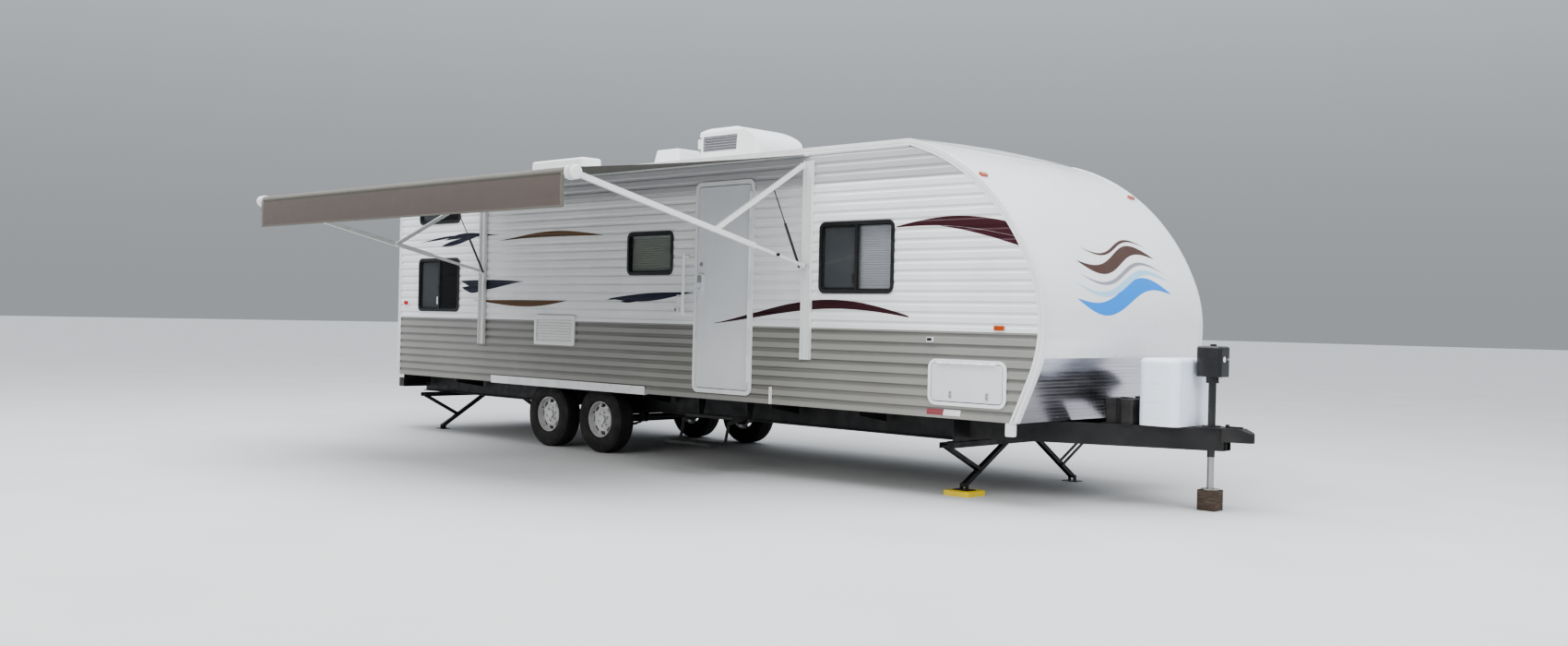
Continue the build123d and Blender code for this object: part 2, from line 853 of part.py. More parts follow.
def rimmed_leaf(x0, x1, z0, z1, corner, thickness):
    """A door leaf with a raised rim around its panel."""
    leaf = slab_xz(rounded(x0, x1, z0, z1, corner), -LIP_Y, -LIP_Y + thickness)
    w = LEAF_RIM_W
    panel = rounded(x0 + w, x1 - w, z0 + w, z1 - w, corner - w / 2)
    return leaf - slab_xz(panel, -LIP_Y, -LIP_Y + LEAF_RIM_T)


DOOR_HINGE_X = DOOR_X1 - DOOR_FRAME_W - LEAF_GAP / 2
DOOR_HINGE_Y = -(LIP_Y + HINGE_R)
DOOR_HINGE_Z0 = DOOR_Z0 + DOOR_FRAME_W + DOOR_CORNER
DOOR_HINGE_L = DOOR_H - 2 * (DOOR_FRAME_W + DOOR_CORNER)


def door_frame_and_leaf():
    """The entry door's frame with its stop, and the leaf that hangs in it."""
    w = DOOR_FRAME_W
    clear = rounded(DOOR_X0 + w, DOOR_X1 - w, DOOR_Z0 + w, DOOR_Z1 - w, DOOR_CORNER - w)
    narrow = rounded(DOOR_X0 + w + STOP_W, DOOR_X1 - w - STOP_W, DOOR_Z0 + w + STOP_W, DOOR_Z1 - w - STOP_W,
                     DOOR_CORNER - w - STOP_W)
    lip = rounded(DOOR_X0, DOOR_X1, DOOR_Z0, DOOR_Z1, DOOR_CORNER)
    frame = slab_xz(lip - clear, -LIP_Y, -HALF_W)
    frame += slab_xz(door_cut() - clear, -HALF_W, -WALL_IN_Y)
    frame += slab_xz(clear - narrow, -WALL_IN_Y - STOP_T, -WALL_IN_Y)
    g = w + LEAF_GAP
    leaf = rimmed_leaf(DOOR_X0 + g, DOOR_X1 - g, DOOR_Z0 + g, DOOR_Z1 - g, DOOR_CORNER - g, DOOR_T)
    fixed, moving = hinge(DOOR_HINGE_L, DOOR_KNUCKLES, DOOR_FLANGE)
    place = Pos(DOOR_HINGE_X, DOOR_HINGE_Y, DOOR_HINGE_Z0)
    frame += place * fixed
    for knuckle in moving:
        leaf += place * knuckle
    return frame, leaf


def door_latch():
    """Paddle latch with its finger recess on the entry door."""
    x0 = DOOR_X0 + DOOR_FRAME_W + LATCH_SET - LATCH_W / 2
    x1 = x0 + LATCH_W
    z0 = SKIRT_Z + LATCH_UP - LATCH_H / 2
    z1 = z0 + LATCH_H
    plate = slab_xz(rounded(x0, x1, z0, z1, LATCH_CORNER), -LIP_Y - LATCH_OUT, -LIP_Y + LEAF_RIM_T)
    m = LATCH_CORNER
    recess = rounded(x0 + m, x1 - m, (z0 + z1) / 2, z1 - m, m / 2)
    return plate - slab_xz(recess, -LIP_Y - LATCH_OUT, -LIP_Y - LATCH_OUT + LATCH_RECESS)


HATCH_HINGE_Z = HATCH_Z1 - HATCH_FRAME_W - LEAF_GAP / 2
HATCH_HINGE_L = HATCH_X1 - HATCH_X0 - 2 * HATCH_HINGE_SET


def hatch_frame_and_leaf():
    """A storage door's frame and its top-hung leaf with two thumb latches, on the right."""
    w = HATCH_FRAME_W
    clear = rounded(HATCH_X0 + w, HATCH_X1 - w, HATCH_Z0 + w, HATCH_Z1 - w, HATCH_CORNER - w)
    lip = rounded(HATCH_X0, HATCH_X1, HATCH_Z0, HATCH_Z1, HATCH_CORNER)
    frame = slab_xz(lip - clear, -LIP_Y, -HALF_W) + slab_xz(hatch_cut() - clear, -HALF_W, -WALL_IN_Y)
    g = w + LEAF_GAP
    leaf = rimmed_leaf(HATCH_X0 + g, HATCH_X1 - g, HATCH_Z0 + g, HATCH_Z1 - g, HATCH_CORNER - g, HATCH_T)
    for x in THUMB_XS:
        z0 = HATCH_Z0 + g + THUMB_SET
        latch = rounded(x - THUMB_W / 2, x + THUMB_W / 2, z0, z0 + THUMB_H, THUMB_CORNER)
        leaf += slab_xz(latch, -LIP_Y - THUMB_OUT, -LIP_Y + LEAF_RIM_T)
    fixed, moving = hinge(HATCH_HINGE_L, HATCH_KNUCKLES, HATCH_FLANGE)
    # The hinge runs towards the rear with its fixed flange upwards
    place = Location(Plane(origin=(HATCH_X1 - HATCH_HINGE_SET, -(LIP_Y + HINGE_R), HATCH_HINGE_Z),
                           x_dir=(0, 0, 1), z_dir=(-1, 0, 0)))
    frame += place * fixed
    for knuckle in moving:
        leaf += place * knuckle
    return frame, leaf


def frame_rails():
    """The two main I-beams."""
    section = Rectangle(RAIL_FLANGE, RAIL_H)
    pocket_w = (RAIL_FLANGE - RAIL_WEB) / 2
    pocket = Rectangle(pocket_w, RAIL_H - 2 * RAIL_FLANGE_T)
    shift = (RAIL_WEB + pocket_w) / 2
    section = section - Pos(shift, 0) * pocket - Pos(-shift, 0) * pocket
    centre = SKIRT_Z - RAIL_H / 2
    return left_too(slab_yz(Pos(-RAIL_Y, centre) * section, RAIL_REAR_X, HEADER_X))


def channel_section(width, height, wall, open_to):
    """A channel section in x and z about its middle, open to +X (1) or -X (-1)."""
    return Rectangle(width, height) - Pos(open_to * wall, 0) * Rectangle(width, height - 2 * wall)


def cross_members():
    """Channels between the rails, under the floor, with the front header."""
    members = []
    clear = RAIL_Y - RAIL_FLANGE / 2
    for x in CROSS_XS:
        section = Pos(x, SKIRT_Z - CROSS_H / 2) * channel_section(CROSS_W, CROSS_H, CROSS_T, 1)
        members.append(slab_xz(section, -clear, clear))
    header = Pos(HEADER_X + HEADER_T / 2, SKIRT_Z - RAIL_H / 2) * channel_section(HEADER_T, RAIL_H, CROSS_T, -1)
    members.append(slab_xz(header, -HEADER_Y, HEADER_Y))
    return members


def outriggers():
    """Tapered brackets from the rails to the walls."""
    brackets = []
    inner = RAIL_Y + RAIL_FLANGE / 2
    for x in OUTRIGGER_XS:
        plate = make_face(Polyline((-inner, SKIRT_Z), (-inner, SKIRT_Z - CROSS_H),
                                   (-WALL_IN_Y, SKIRT_Z - OUTRIGGER_TIP), (-WALL_IN_Y, SKIRT_Z), close=True))
        bracket = slab_yz(plate, x, x + CROSS_T)
        bracket += block(x, x + CROSS_W, -WALL_IN_Y, -inner, SKIRT_Z - CROSS_T, SKIRT_Z)
        brackets += left_too(bracket)
    return brackets


def rear_bumper():
    """A square tube across the rail ends."""
    s = BUMPER_SIZE
    w = BUMPER_WALL
    z1 = SKIRT_Z - (RAIL_H - s) / 2
    tube = block(RAIL_REAR_X - s, RAIL_REAR_X, -BUMPER_Y, BUMPER_Y, z1 - s, z1)
    return tube - block(RAIL_REAR_X - s + w, RAIL_REAR_X - w, -BUMPER_Y, BUMPER_Y, z1 - s + w, z1 - w)


def drawbar():
    """The two box tubes that run in to the coupler."""
    back = Vector(HEADER_FRONT_X, RAIL_Y)
    tip = Vector(DRAW_TIP_X, DRAW_TIP_Y)
    run = (tip - back).normalized()
    wide = DRAW_W / run.X
    wall = DRAW_WALL / run.X
    outer = make_face(Polyline((back.X, back.Y), (tip.X, tip.Y), (tip.X, tip.Y - wide), (back.X, back.Y - wide),
                               close=True))
    inner = make_face(Polyline((back.X, back.Y - wall), (tip.X, tip.Y - wall), (tip.X, tip.Y - wide + wall),
                               (back.X, back.Y - wide + wall), close=True))
    rail = slab_xy(outer, DRAW_TOP_Z - DRAW_H, DRAW_TOP_Z)
    rail -= slab_xy(inner, DRAW_TOP_Z - DRAW_H + DRAW_WALL, DRAW_TOP_Z - DRAW_WALL)
    return left_too(rail)


def coupler():
    """The cast socket for the tow ball, with its latch lever and a plate over the drawbar rails."""
    top = DRAW_TOP_Z + COUPLER_PLATE_T
    nose_x = BALL_X + COUPLER_NOSE_R
    plan = make_face([
        Polyline((BALL_X, COUPLER_NOSE_R), (COUPLER_X0, COUPLER_HALF_W), (COUPLER_X0, -COUPLER_HALF_W),
                 (BALL_X, -COUPLER_NOSE_R)),
        CenterArc((BALL_X, 0), COUPLER_NOSE_R, -90, 180),
    ])
    body = slab_xy(plan, COUPLER_Z0, top)
    body -= block(0, DRAW_TIP_X, -COUPLER_HALF_W, COUPLER_HALF_W, COUPLER_Z0, DRAW_TOP_Z)
    body -= rod((JACK_X, 0, COUPLER_Z0), (JACK_X, 0, top), JACK_TUBE_R + JACK_SLIDE_GAP)
    slope = make_face(Polyline((nose_x - COUPLER_SLOPE_L, top), (nose_x, top - COUPLER_SLOPE_H), (nose_x, top),
                               close=True))
    body -= slab_xz(slope, -COUPLER_HALF_W, COUPLER_HALF_W)
    lever_x = nose_x - COUPLER_SLOPE_L
    body += block(lever_x - LEVER_L, lever_x, -LEVER_W / 2, LEVER_W / 2, top, top + LEVER_T)
    body += block(lever_x - LEVER_L, lever_x - LEVER_L + LEVER_W, -LEVER_W / 2, LEVER_W / 2, top, top + 2 * LEVER_T)
    return body - rod((BALL_X, 0, COUPLER_Z0), (BALL_X, 0, COUPLER_Z0 + BALL_DEPTH), BALL_R)


def tongue_jack():
    """The jack's outer tube with its flange, neck, motor head and crank cap."""
    bore = JACK_TUBE_R - JACK_TUBE_WALL
    z0 = DRAW_TOP_Z - JACK_TUBE_DOWN
    z1 = DRAW_TOP_Z + JACK_TUBE_UP
    tube = rod((JACK_X, 0, z0), (JACK_X, 0, z1), JACK_TUBE_R, bore)
    seat = DRAW_TOP_Z + COUPLER_PLATE_T
    tube += rod((JACK_X, 0, seat), (JACK_X, 0, seat + JACK_FLANGE_T), JACK_FLANGE_R, bore)
    head_z = z1 + JACK_NECK_R / 2
    tube += rod((JACK_X, 0, z1 - JACK_NECK_R / 2), (JACK_X, 0, head_z), JACK_NECK_R, bore)
    plan = Pos(JACK_X, 0) * RectangleRounded(JACK_HEAD_L, JACK_HEAD_W, JACK_HEAD_CORNER)
    head = slab_xy(plan, head_z, head_z + JACK_HEAD_H)
    head = fillet(head.edges().group_by(Axis.Z)[-1], JACK_HEAD_SOFT)
    cap_z = head_z + JACK_HEAD_H
    return tube + head + rod((JACK_X, 0, cap_z), (JACK_X, 0, cap_z + JACK_CAP_H), JACK_CAP_R)


def jack_leg():
    """The jack's inner tube and foot plate."""
    radius = JACK_TUBE_R - JACK_TUBE_WALL - JACK_SLIDE_GAP
    foot_z = BLOCK_H + BLOCK_GAP
    top_z = DRAW_TOP_Z - JACK_TUBE_DOWN + JACK_LEG_IN
    leg = rod((JACK_X, 0, foot_z), (JACK_X, 0, top_z), radius, radius - JACK_LEG_WALL)
    return leg + rod((JACK_X, 0, foot_z), (JACK_X, 0, foot_z + JACK_FOOT_T), JACK_FOOT_R)


def jack_block():
    """The timber block under the jack."""
    h = BLOCK_L / 2
    return block(JACK_X - h, JACK_X + h, -h, h, 0, BLOCK_H)


def drawbar_trays():
    """Sheet trays under the gas cylinders and the batteries."""
    i = TRAY_INSET
    tray = block(COVER_X0 + i, COVER_X1 - i, -COVER_HALF_W + i, COVER_HALF_W - i, DRAW_TOP_Z, TRAY_TOP_Z)
    rack_y = BATTERY_Y + BATTERY_W + RACK_MARGIN
    rack = block(BATTERY_X0 - RACK_LIP, BATTERY_X1 + RACK_LIP, -rack_y, rack_y, DRAW_TOP_Z, TRAY_TOP_Z)
    return [tray, rack]


def gas_cover():
    """The moulded cover of the gas cylinders, grooved on its sides and fluted in front."""
    middle = (COVER_X0 + COVER_X1) / 2
    shells = []
    for w in (0, COVER_WALL):
        plan = Pos(middle, 0) * RectangleRounded(COVER_X1 - COVER_X0 - 2 * w, 2 * (COVER_HALF_W - w), COVER_CORNER - w)
        shell = slab_xy(plan, TRAY_TOP_Z, TRAY_TOP_Z + COVER_H - w)
        shells.append(fillet(shell.edges().group_by(Axis.Z)[-1], COVER_SOFT - w))
    cover = shells[0] - shells[1]
    for share in COVER_GROOVES:
        z = TRAY_TOP_Z + COVER_H * share
        groove = rounded(middle - COVER_GROOVE_L / 2, middle + COVER_GROOVE_L / 2, z, z + COVER_GROOVE_H,
                         COVER_GROOVE_CORNER)
        for y0 in (-COVER_HALF_W, COVER_HALF_W - COVER_GROOVE_T):
            cover -= slab_xz(groove, y0, y0 + COVER_GROOVE_T)
    centre = TRAY_TOP_Z + COVER_H / 2
    for y in (-COVER_FLUTE_Y, COVER_FLUTE_Y):
        flute = rounded(y - COVER_FLUTE_W / 2, y + COVER_FLUTE_W / 2, centre - COVER_FLUTE_H / 2,
                        centre + COVER_FLUTE_H / 2, COVER_FLUTE_CORNER)
        cover -= slab_yz(flute, COVER_X1 - COVER_GROOVE_T, COVER_X1)
    return cover


def battery_boxes():
    """Battery boxes with lids that overhang them."""
    boxes = []
    for side in SIDES.values():
        y0, y1 = sorted((side * BATTERY_Y, side * (BATTERY_Y + BATTERY_W)))
        o = LID_OUT
        case = slab_xy(rounded(BATTERY_X0 + o, BATTERY_X1 - o, y0 + o, y1 - o, BATTERY_CORNER - o),
                       TRAY_TOP_Z, TRAY_TOP_Z + BATTERY_H - LID_H)
        lid = slab_xy(rounded(BATTERY_X0, BATTERY_X1, y0, y1, BATTERY_CORNER),
                      TRAY_TOP_Z + BATTERY_H - LID_H, TRAY_TOP_Z + BATTERY_H)
        boxes.append(case + fillet(lid.edges().group_by(Axis.Z)[-1], LID_SOFT))
    return boxes


def tyre():
    """A radial trailer tyre about the Y axis."""
    half = TYRE_W / 2
    tread = half * TREAD_SHARE
    bead = half * BEAD_SHARE
    shoulder = TYRE_R - TREAD_CROWN
    middle = (RIM_R + TYRE_R) / 2
    profile = make_face([
        Line((RIM_R, -bead), (RIM_R, bead)),
        ThreePointArc((RIM_R, bead), (middle, half), (shoulder, tread)),
        ThreePointArc((shoulder, tread), (TYRE_R, 0), (shoulder, -tread)),
        ThreePointArc((shoulder, -tread), (middle, -half), (RIM_R, -bead)),
    ])
    return revolve(Plane.XY * profile, axis=Axis.Y)


def polar(radius, angle):
    """A point at a radius and an angle in degrees."""
    return radius * cos(radians(angle)), radius * sin(radians(angle))


def wheel_rim():
    """A dished steel wheel with hand holes, its hub and brake drum, outer side to -Y."""
    half = RIM_W / 2
    inner = RIM_R - RIM_WALL
    bore = SPINDLE_R + SPINDLE_CLEAR
    barrel = make_face(Polyline((inner, -half), (RIM_R, -half), (RIM_R, half), (inner, half), close=True))
    face = ((bore, -DISC_OUT), (BOLT_FACE_R, -DISC_OUT), (CREASE_R, -DISC_OUT - DISC_DISH),
            (inner + RIM_WALL / 2, -DISC_OUT + DISC_DISH))
    back = [(r, y + DISC_T) for r, y in reversed(face)]
    disc = make_face(Polyline(*face, *back, close=True))
    drum_out = DRUM_IN - DRUM_DEPTH
    hub = make_face(Polyline((0, -HUB_OUT), (HUB_R, -HUB_OUT), (HUB_R, drum_out), (DRUM_R, drum_out),
                             (DRUM_R, DRUM_IN), (DRUM_R - DRUM_WALL, DRUM_IN),
                             (DRUM_R - DRUM_WALL, drum_out + DRUM_WALL),
                             (bore, drum_out + DRUM_WALL), (bore, -HUB_OUT + HUB_CAP_T), (0, -HUB_OUT + HUB_CAP_T),
                             close=True))
    wheel = revolve(barrel, axis=Axis.Y) + revolve(disc, axis=Axis.Y) + revolve(hub, axis=Axis.Y)
    h = HAND_HOLE_ANGLE
    hole = Polyline(polar(HAND_HOLE_R0, -h), polar(HAND_HOLE_R1, -h), polar(HAND_HOLE_R1, h), polar(HAND_HOLE_R0, h),
                    close=True)
    hole = make_face(hole)
    hole = fillet(hole.vertices(), HAND_HOLE_CORNER)
    reach = DISC_OUT + 2 * DISC_DISH
    for i in range(HAND_HOLES):
        wheel -= slab_xz(Rot(0, 0, i * 360 / HAND_HOLES) * hole, -reach, 0)
    return wheel


def spring_band(x):
    """Side view of one stepped leaf pack with its rolled eyes."""
    half = SPRING_SPAN / 2
    radius = (half ** 2 + SPRING_CAMBER ** 2) / (2 * SPRING_CAMBER)
    centre = Vector(x, SPRING_SEAT_Z - LEAF_T + radius)
    full = degrees(asin(half / radius))
    band = ring_band(centre, radius - LEAF_T, radius, -90 - full, -90 + full)
    for i, share in enumerate(LEAF_SHARES):
        band += ring_band(centre, radius - LEAF_T, radius + i * LEAF_T, -90 - full * share, -90 + full * share)
    for end in (-half, half):
        band += Pos(x + end, SPRING_EYE_Z) * Circle(SPRING_EYE_R)
    for end in (-half, half):
        band -= Pos(x + end, SPRING_EYE_Z) * Circle(SPRING_PIN_R + PIN_CLEAR)
    return band


def axle(x):
    """An axle tube with spindles, brake plates, spring seats, U-bolts and tie plates."""
    beam = rod((x, -AXLE_END_Y, TYRE_R), (x, AXLE_END_Y, TYRE_R), AXLE_R)
    beam += rod((x, -SPINDLE_END_Y, TYRE_R), (x, SPINDLE_END_Y, TYRE_R), SPINDLE_R)
    pack = spring_band(x)
    seat = rounded(x - SEAT_HALF_L, x + SEAT_HALF_L, SPRING_SEAT_Z, TYRE_R, SEAT_T / 2) - pack
    low = SPRING_SEAT_Z - SPRING_T
    out = AXLE_R + U_BOLT_T
    bolt = Pos(x, TYRE_R) * Circle(out) + Pos(x, (TYRE_R + low) / 2) * Rectangle(2 * out, TYRE_R - low)
    bolt -= Pos(x, TYRE_R) * Circle(AXLE_R - 1) + Pos(x, (TYRE_R + low) / 2) * Rectangle(2 * AXLE_R, TYRE_R - low)
    plate = Pos(x, low) * Rectangle(2 * SEAT_HALF_L, 2 * TIE_PLATE_T) - pack
    for side in SIDES.values():
        end = side * AXLE_END_Y
        beam += rod((x, end, TYRE_R), (x, end + side * PLATE_T, TYRE_R), PLATE_R)
        y = side * RAIL_Y
        w = SPRING_W / 2
        beam += slab_xz(seat, y - w, y + w)
        beside = w + 1
        beam += slab_xz(plate, y - beside - U_BOLT_T, y + beside + U_BOLT_T)
        for y0 in (y - beside - U_BOLT_T, y + beside):
            beam += slab_xz(bolt, y0, y0 + U_BOLT_T)
    return beam


def leaf_springs():
    """Leaf packs under the axles."""
    packs = []
    for x in WHEEL_XS.values():
        packs += left_too(slab_xz(spring_band(x), -RAIL_Y - SPRING_W / 2, -RAIL_Y + SPRING_W / 2))
    return packs


def hanger(x, top_half, foot_half, foot_z, pin_z):
    """A folded hanger under the right rail with its pin."""
    inner = SPRING_W / 2 + 1
    y0 = -RAIL_Y - inner - HANGER_T
    y1 = -RAIL_Y + inner + HANGER_T
    cheek = make_face(Polyline((x - top_half, RAIL_BOTTOM_Z), (x + top_half, RAIL_BOTTOM_Z), (x + foot_half, foot_z),
                               (x - foot_half, foot_z), close=True))
    piece = slab_xz(cheek, y0, y1)
    piece -= block(x - top_half, x + top_half, -RAIL_Y - inner, -RAIL_Y + inner, 0, RAIL_BOTTOM_Z - HANGER_T)
    return piece + rod((x, y0, pin_z), (x, y1, pin_z), SPRING_PIN_R)


def spring_hangers():
    """Hangers below the rails with their pins, and the rockers between the springs."""
    half = SPRING_SPAN / 2
    middle = sum(WHEEL_XS.values()) / 2
    pieces = []
    for x in (WHEEL_XS["rear"] - half, WHEEL_XS["front"] + half):
        pieces += left_too(hanger(x, HANGER_TOP, HANGER_FOOT, SPRING_EYE_Z - HANGER_FOOT, SPRING_EYE_Z))
    pivot_z = SPRING_EYE_Z + ROCKER_PIVOT_UP
    pieces += left_too(hanger(middle, HANGER_TOP, HANGER_FOOT, SPRING_EYE_Z + HANGER_T, pivot_z))
    reach = (WHEEL_XS["front"] - WHEEL_XS["rear"] - SPRING_SPAN) / 2
    tip_low = SPRING_EYE_Z + ROCKER_TIP_UP
    tip_high = tip_low + ROCKER_TIP_H
    right_half = [(0, pivot_z - HANGER_FOOT), (reach, tip_low), (reach + ROCKER_TIP, (tip_low + tip_high) / 2),
                  (reach, tip_high), (0, pivot_z + HANGER_FOOT)]
    left_half = [(-dx, z) for dx, z in reversed(right_half[1:-1])]
    rocker = make_face(Polyline(*[(middle + dx, z) for dx, z in right_half + left_half], close=True))
    rocker -= Pos(middle, pivot_z) * Circle(SPRING_PIN_R + PIN_CLEAR)
    pieces += left_too(slab_xz(rocker, -RAIL_Y - SPRING_W / 2, -RAIL_Y + SPRING_W / 2))
    return pieces


def holding_tanks():
    """Moulded tanks hung between the rails."""
    tanks = []
    for x0, x1, half, drop in TANK_TABLE:
        top = block(x0, x1, -half, half, SKIRT_Z - drop, SKIRT_Z)
        tanks.append(fillet(top.edges().group_by(Axis.Z)[0], TANK_SOFT))
    return tanks


def fender_skirts():
    """Edge strips of the siding over the wheels."""
    x1 = WHEEL_XS["front"] + WHEEL_XS["rear"] - SKIRT_X0
    z0 = SKIRT_Z - SKIRT_DROP
    strip = block(SKIRT_X0, x1, -HALF_W - SKIRT_T, -HALF_W, z0, SKIRT_Z + SKIRT_H)
    strip += block(SKIRT_X0, x1, -HALF_W - SKIRT_T, -HALF_W + SKIRT_RETURN, z0, SKIRT_Z)
    return left_too(strip)


BEAM_Z0 = RAIL_BOTTOM_Z - BEAM_H
BEAM_PIN_Z = RAIL_BOTTOM_Z - BEAM_PIN_DROP


def stabilizer_beams():
    """Open channels across the frame, front and rear, with the legs' pins."""
    beams = []
    for x in BEAM_XS.values():
        h = BEAM_W / 2
        w = BEAM_WALL
        beam = block(x - h, x + h, -BEAM_Y, BEAM_Y, BEAM_Z0, RAIL_BOTTOM_Z)
        beam -= block(x - h + w, x + h - w, -BEAM_Y, BEAM_Y, BEAM_Z0, RAIL_BOTTOM_Z - w)
        for y in (-BRACE_Y, -LEG_Y, LEG_Y, BRACE_Y):
            beam += rod((x - h, y, BEAM_PIN_Z), (x + h, y, BEAM_PIN_Z), BEAM_PIN_R)
        beams.append(beam)
    return beams


def stabilizer_leg(x, side, ground):
    """One splayed leg: a pressed channel with two brace bars and a foot plate."""
    h = LEG_W / 2
    top = (side * LEG_Y, BEAM_PIN_Z)
    foot = (side * FOOT_Y, FOOT_Z + ground)
    run = Vector(foot[0] - top[0], foot[1] - top[1]).normalized()
    down = Vector(-side * run.Y, side * run.X) * -LEG_WALL
    leg = bar_yz(top, foot, LEG_H, x - h, x + h)
    leg -= bar_yz((top[0] + down.X, top[1] + down.Y), (foot[0] + down.X, foot[1] + down.Y), LEG_H,
                  x - h + LEG_WALL, x + h - LEG_WALL)
    hole = BEAM_PIN_R + PIN_CLEAR
    leg -= rod((x - h, *top), (x + h, *top), hole)
    lug = h + LUG_GAP + LUG_T
    leg += rod((x - lug, *foot), (x + lug, *foot), FOOT_PIN_R)
    leg += block(x - FOOT_L / 2, x + FOOT_L / 2, foot[0] - FOOT_W / 2, foot[0] + FOOT_W / 2, ground, ground + FOOT_T)
    joint = between(top, foot, BRACE_AT)
    brace_top = (side * BRACE_Y, BEAM_PIN_Z)
    for edge in (-1, 1):
        x0, x1 = inboard(x, edge, h + LUG_GAP, lug)
        leg += block(x0, x1, foot[0] - LUG_HALF, foot[0] + LUG_HALF, ground, foot[1] + LUG_OVER)
        x0, x1 = inboard(x, edge, h + BRACE_GAP, h + BRACE_GAP + BRACE_T)
        leg += bar_yz(brace_top, joint, BRACE_H, x0, x1) - rod((x0, *brace_top), (x1, *brace_top), hole)
    reach = h + BRACE_GAP + BRACE_T
    return leg + rod((x - reach, *joint), (x + reach, *joint), BEAM_PIN_R)


def stabilizer_legs(where, grounds):
    """A pair of splayed legs on grounds of their own heights, right and left."""
    return [stabilizer_leg(BEAM_XS[where], side, ground) for side, ground in zip(SIDES.values(), grounds)]


def level_pad():
    """The plastic pad under the near front foot."""
    pad = slab_xy(Pos(BEAM_XS["front"], -FOOT_Y) * RectangleRounded(PAD_SIZE, PAD_SIZE, PAD_CORNER), 0, PAD_H)
    return chamfer(pad.edges().group_by(Axis.Z)[-1], PAD_SOFT)


def tread(x0, x1, y0, y1, top):
    """A pressed tread: a pan with turned-down edges and rows of grip slots."""
    w = TREAD_WALL
    pan = block(x0, x1, y0, y1, top - TREAD_T, top)
    pan -= block(x0 + w, x1 - w, y0 + w, y1 - w, top - TREAD_T, top - w)
    for row in range(TREAD_ROWS):
        y = y0 + (y1 - y0) * (row + 1) / (TREAD_ROWS + 1)
        for i in range(TREAD_SLOTS):
            x = x0 + (x1 - x0) * (i + 0.5) / TREAD_SLOTS
            pan -= slab_xy(Pos(x, y) * SlotOverall(TREAD_SLOT_L, TREAD_SLOT_W), top - w, top)
    return pan


STEP_PIVOT = (-HALF_W + STEP_PIVOT_IN, SKIRT_Z - STEP_PIVOT_DROP)
STEP_JOINT = (STEP_PIVOT[0] - STEP_REACH, STEP_PIVOT[1] - STEP_JOINT_DROP)
STEP_LOW = (STEP_JOINT[0] - STEP_LOW_SET, STEP_JOINT[1] - STEP_LOW_DROP)


def entry_steps():
    """Brackets, upper tread and lower tread of the folding step."""
    t = STEP_ARM_T
    pitch = t + STEP_SIDE_GAP
    half = STEP_ARM_W / 2
    edge = STEP_LOW[1] + TREAD_T / 2
    upper = tread(STEP_X0 + pitch, STEP_X1 - pitch, STEP_PIVOT[0] - TREAD_SET - TREAD_DEPTH + half,
                  STEP_PIVOT[0] - TREAD_SET, STEP_PIVOT[1] + TREAD_RISE)
    lower = tread(STEP_X0 + 2 * pitch, STEP_X1 - 2 * pitch, STEP_LOW[0] - TREAD_DEPTH, STEP_LOW[0], edge)
    pivot_y, pivot_z = STEP_PIVOT
    low = pivot_z - STEP_CHEEK_DROP
    cheek = make_face(Polyline((pivot_y - STEP_CHEEK_HALF, low), (pivot_y + STEP_CHEEK_HALF, low),
                               (pivot_y + STEP_CHEEK_IN, SKIRT_Z), (pivot_y - STEP_CHEEK_OUT, SKIRT_Z), close=True))
    brackets = []
    for x, inward in ((STEP_X0, 1), (STEP_X1, -1)):
        x0, x1 = inboard(x, inward, 0, pitch + t)
        brackets.append(slab_yz(cheek, *inboard(x, inward, 0, t))
                        + rod((x0, *STEP_PIVOT), (x1, *STEP_PIVOT), STEP_PIN_R))
        x0, x1 = inboard(x, inward, pitch, pitch + t)
        upper += (bar_yz(STEP_PIVOT, STEP_JOINT, STEP_ARM_W, x0, x1)
                  - rod((x0, *STEP_PIVOT), (x1, *STEP_PIVOT), STEP_PIN_R + PIN_CLEAR))
        x0, x1 = inboard(x, inward, pitch, 2 * pitch + t)
        upper += rod((x0, *STEP_JOINT), (x1, *STEP_JOINT), STEP_PIN_R)
        x0, x1 = inboard(x, inward, 2 * pitch, 2 * pitch + t)
        lower += (bar_yz(STEP_JOINT, STEP_LOW, STEP_ARM_W, x0, x1)
                  - rod((x0, *STEP_JOINT), (x1, *STEP_JOINT), STEP_PIN_R + PIN_CLEAR))
        lower += block(x0, x1, STEP_LOW[0] - TREAD_DEPTH, STEP_LOW[0] + half, STEP_LOW[1] - half, edge)
    return brackets, upper, lower


def roof_crown(y):
    """Height of the roof surface at a distance from the centre plane."""
    flat_y = HALF_W - ROOF_SHOULDER
    if abs(y) >= flat_y:
        return SIDE_TOP_Z
    radius = (flat_y ** 2 + ROOF_CROWN ** 2) / (2 * ROOF_CROWN)
    return CROWN_Z - radius + sqrt(radius ** 2 - y ** 2)


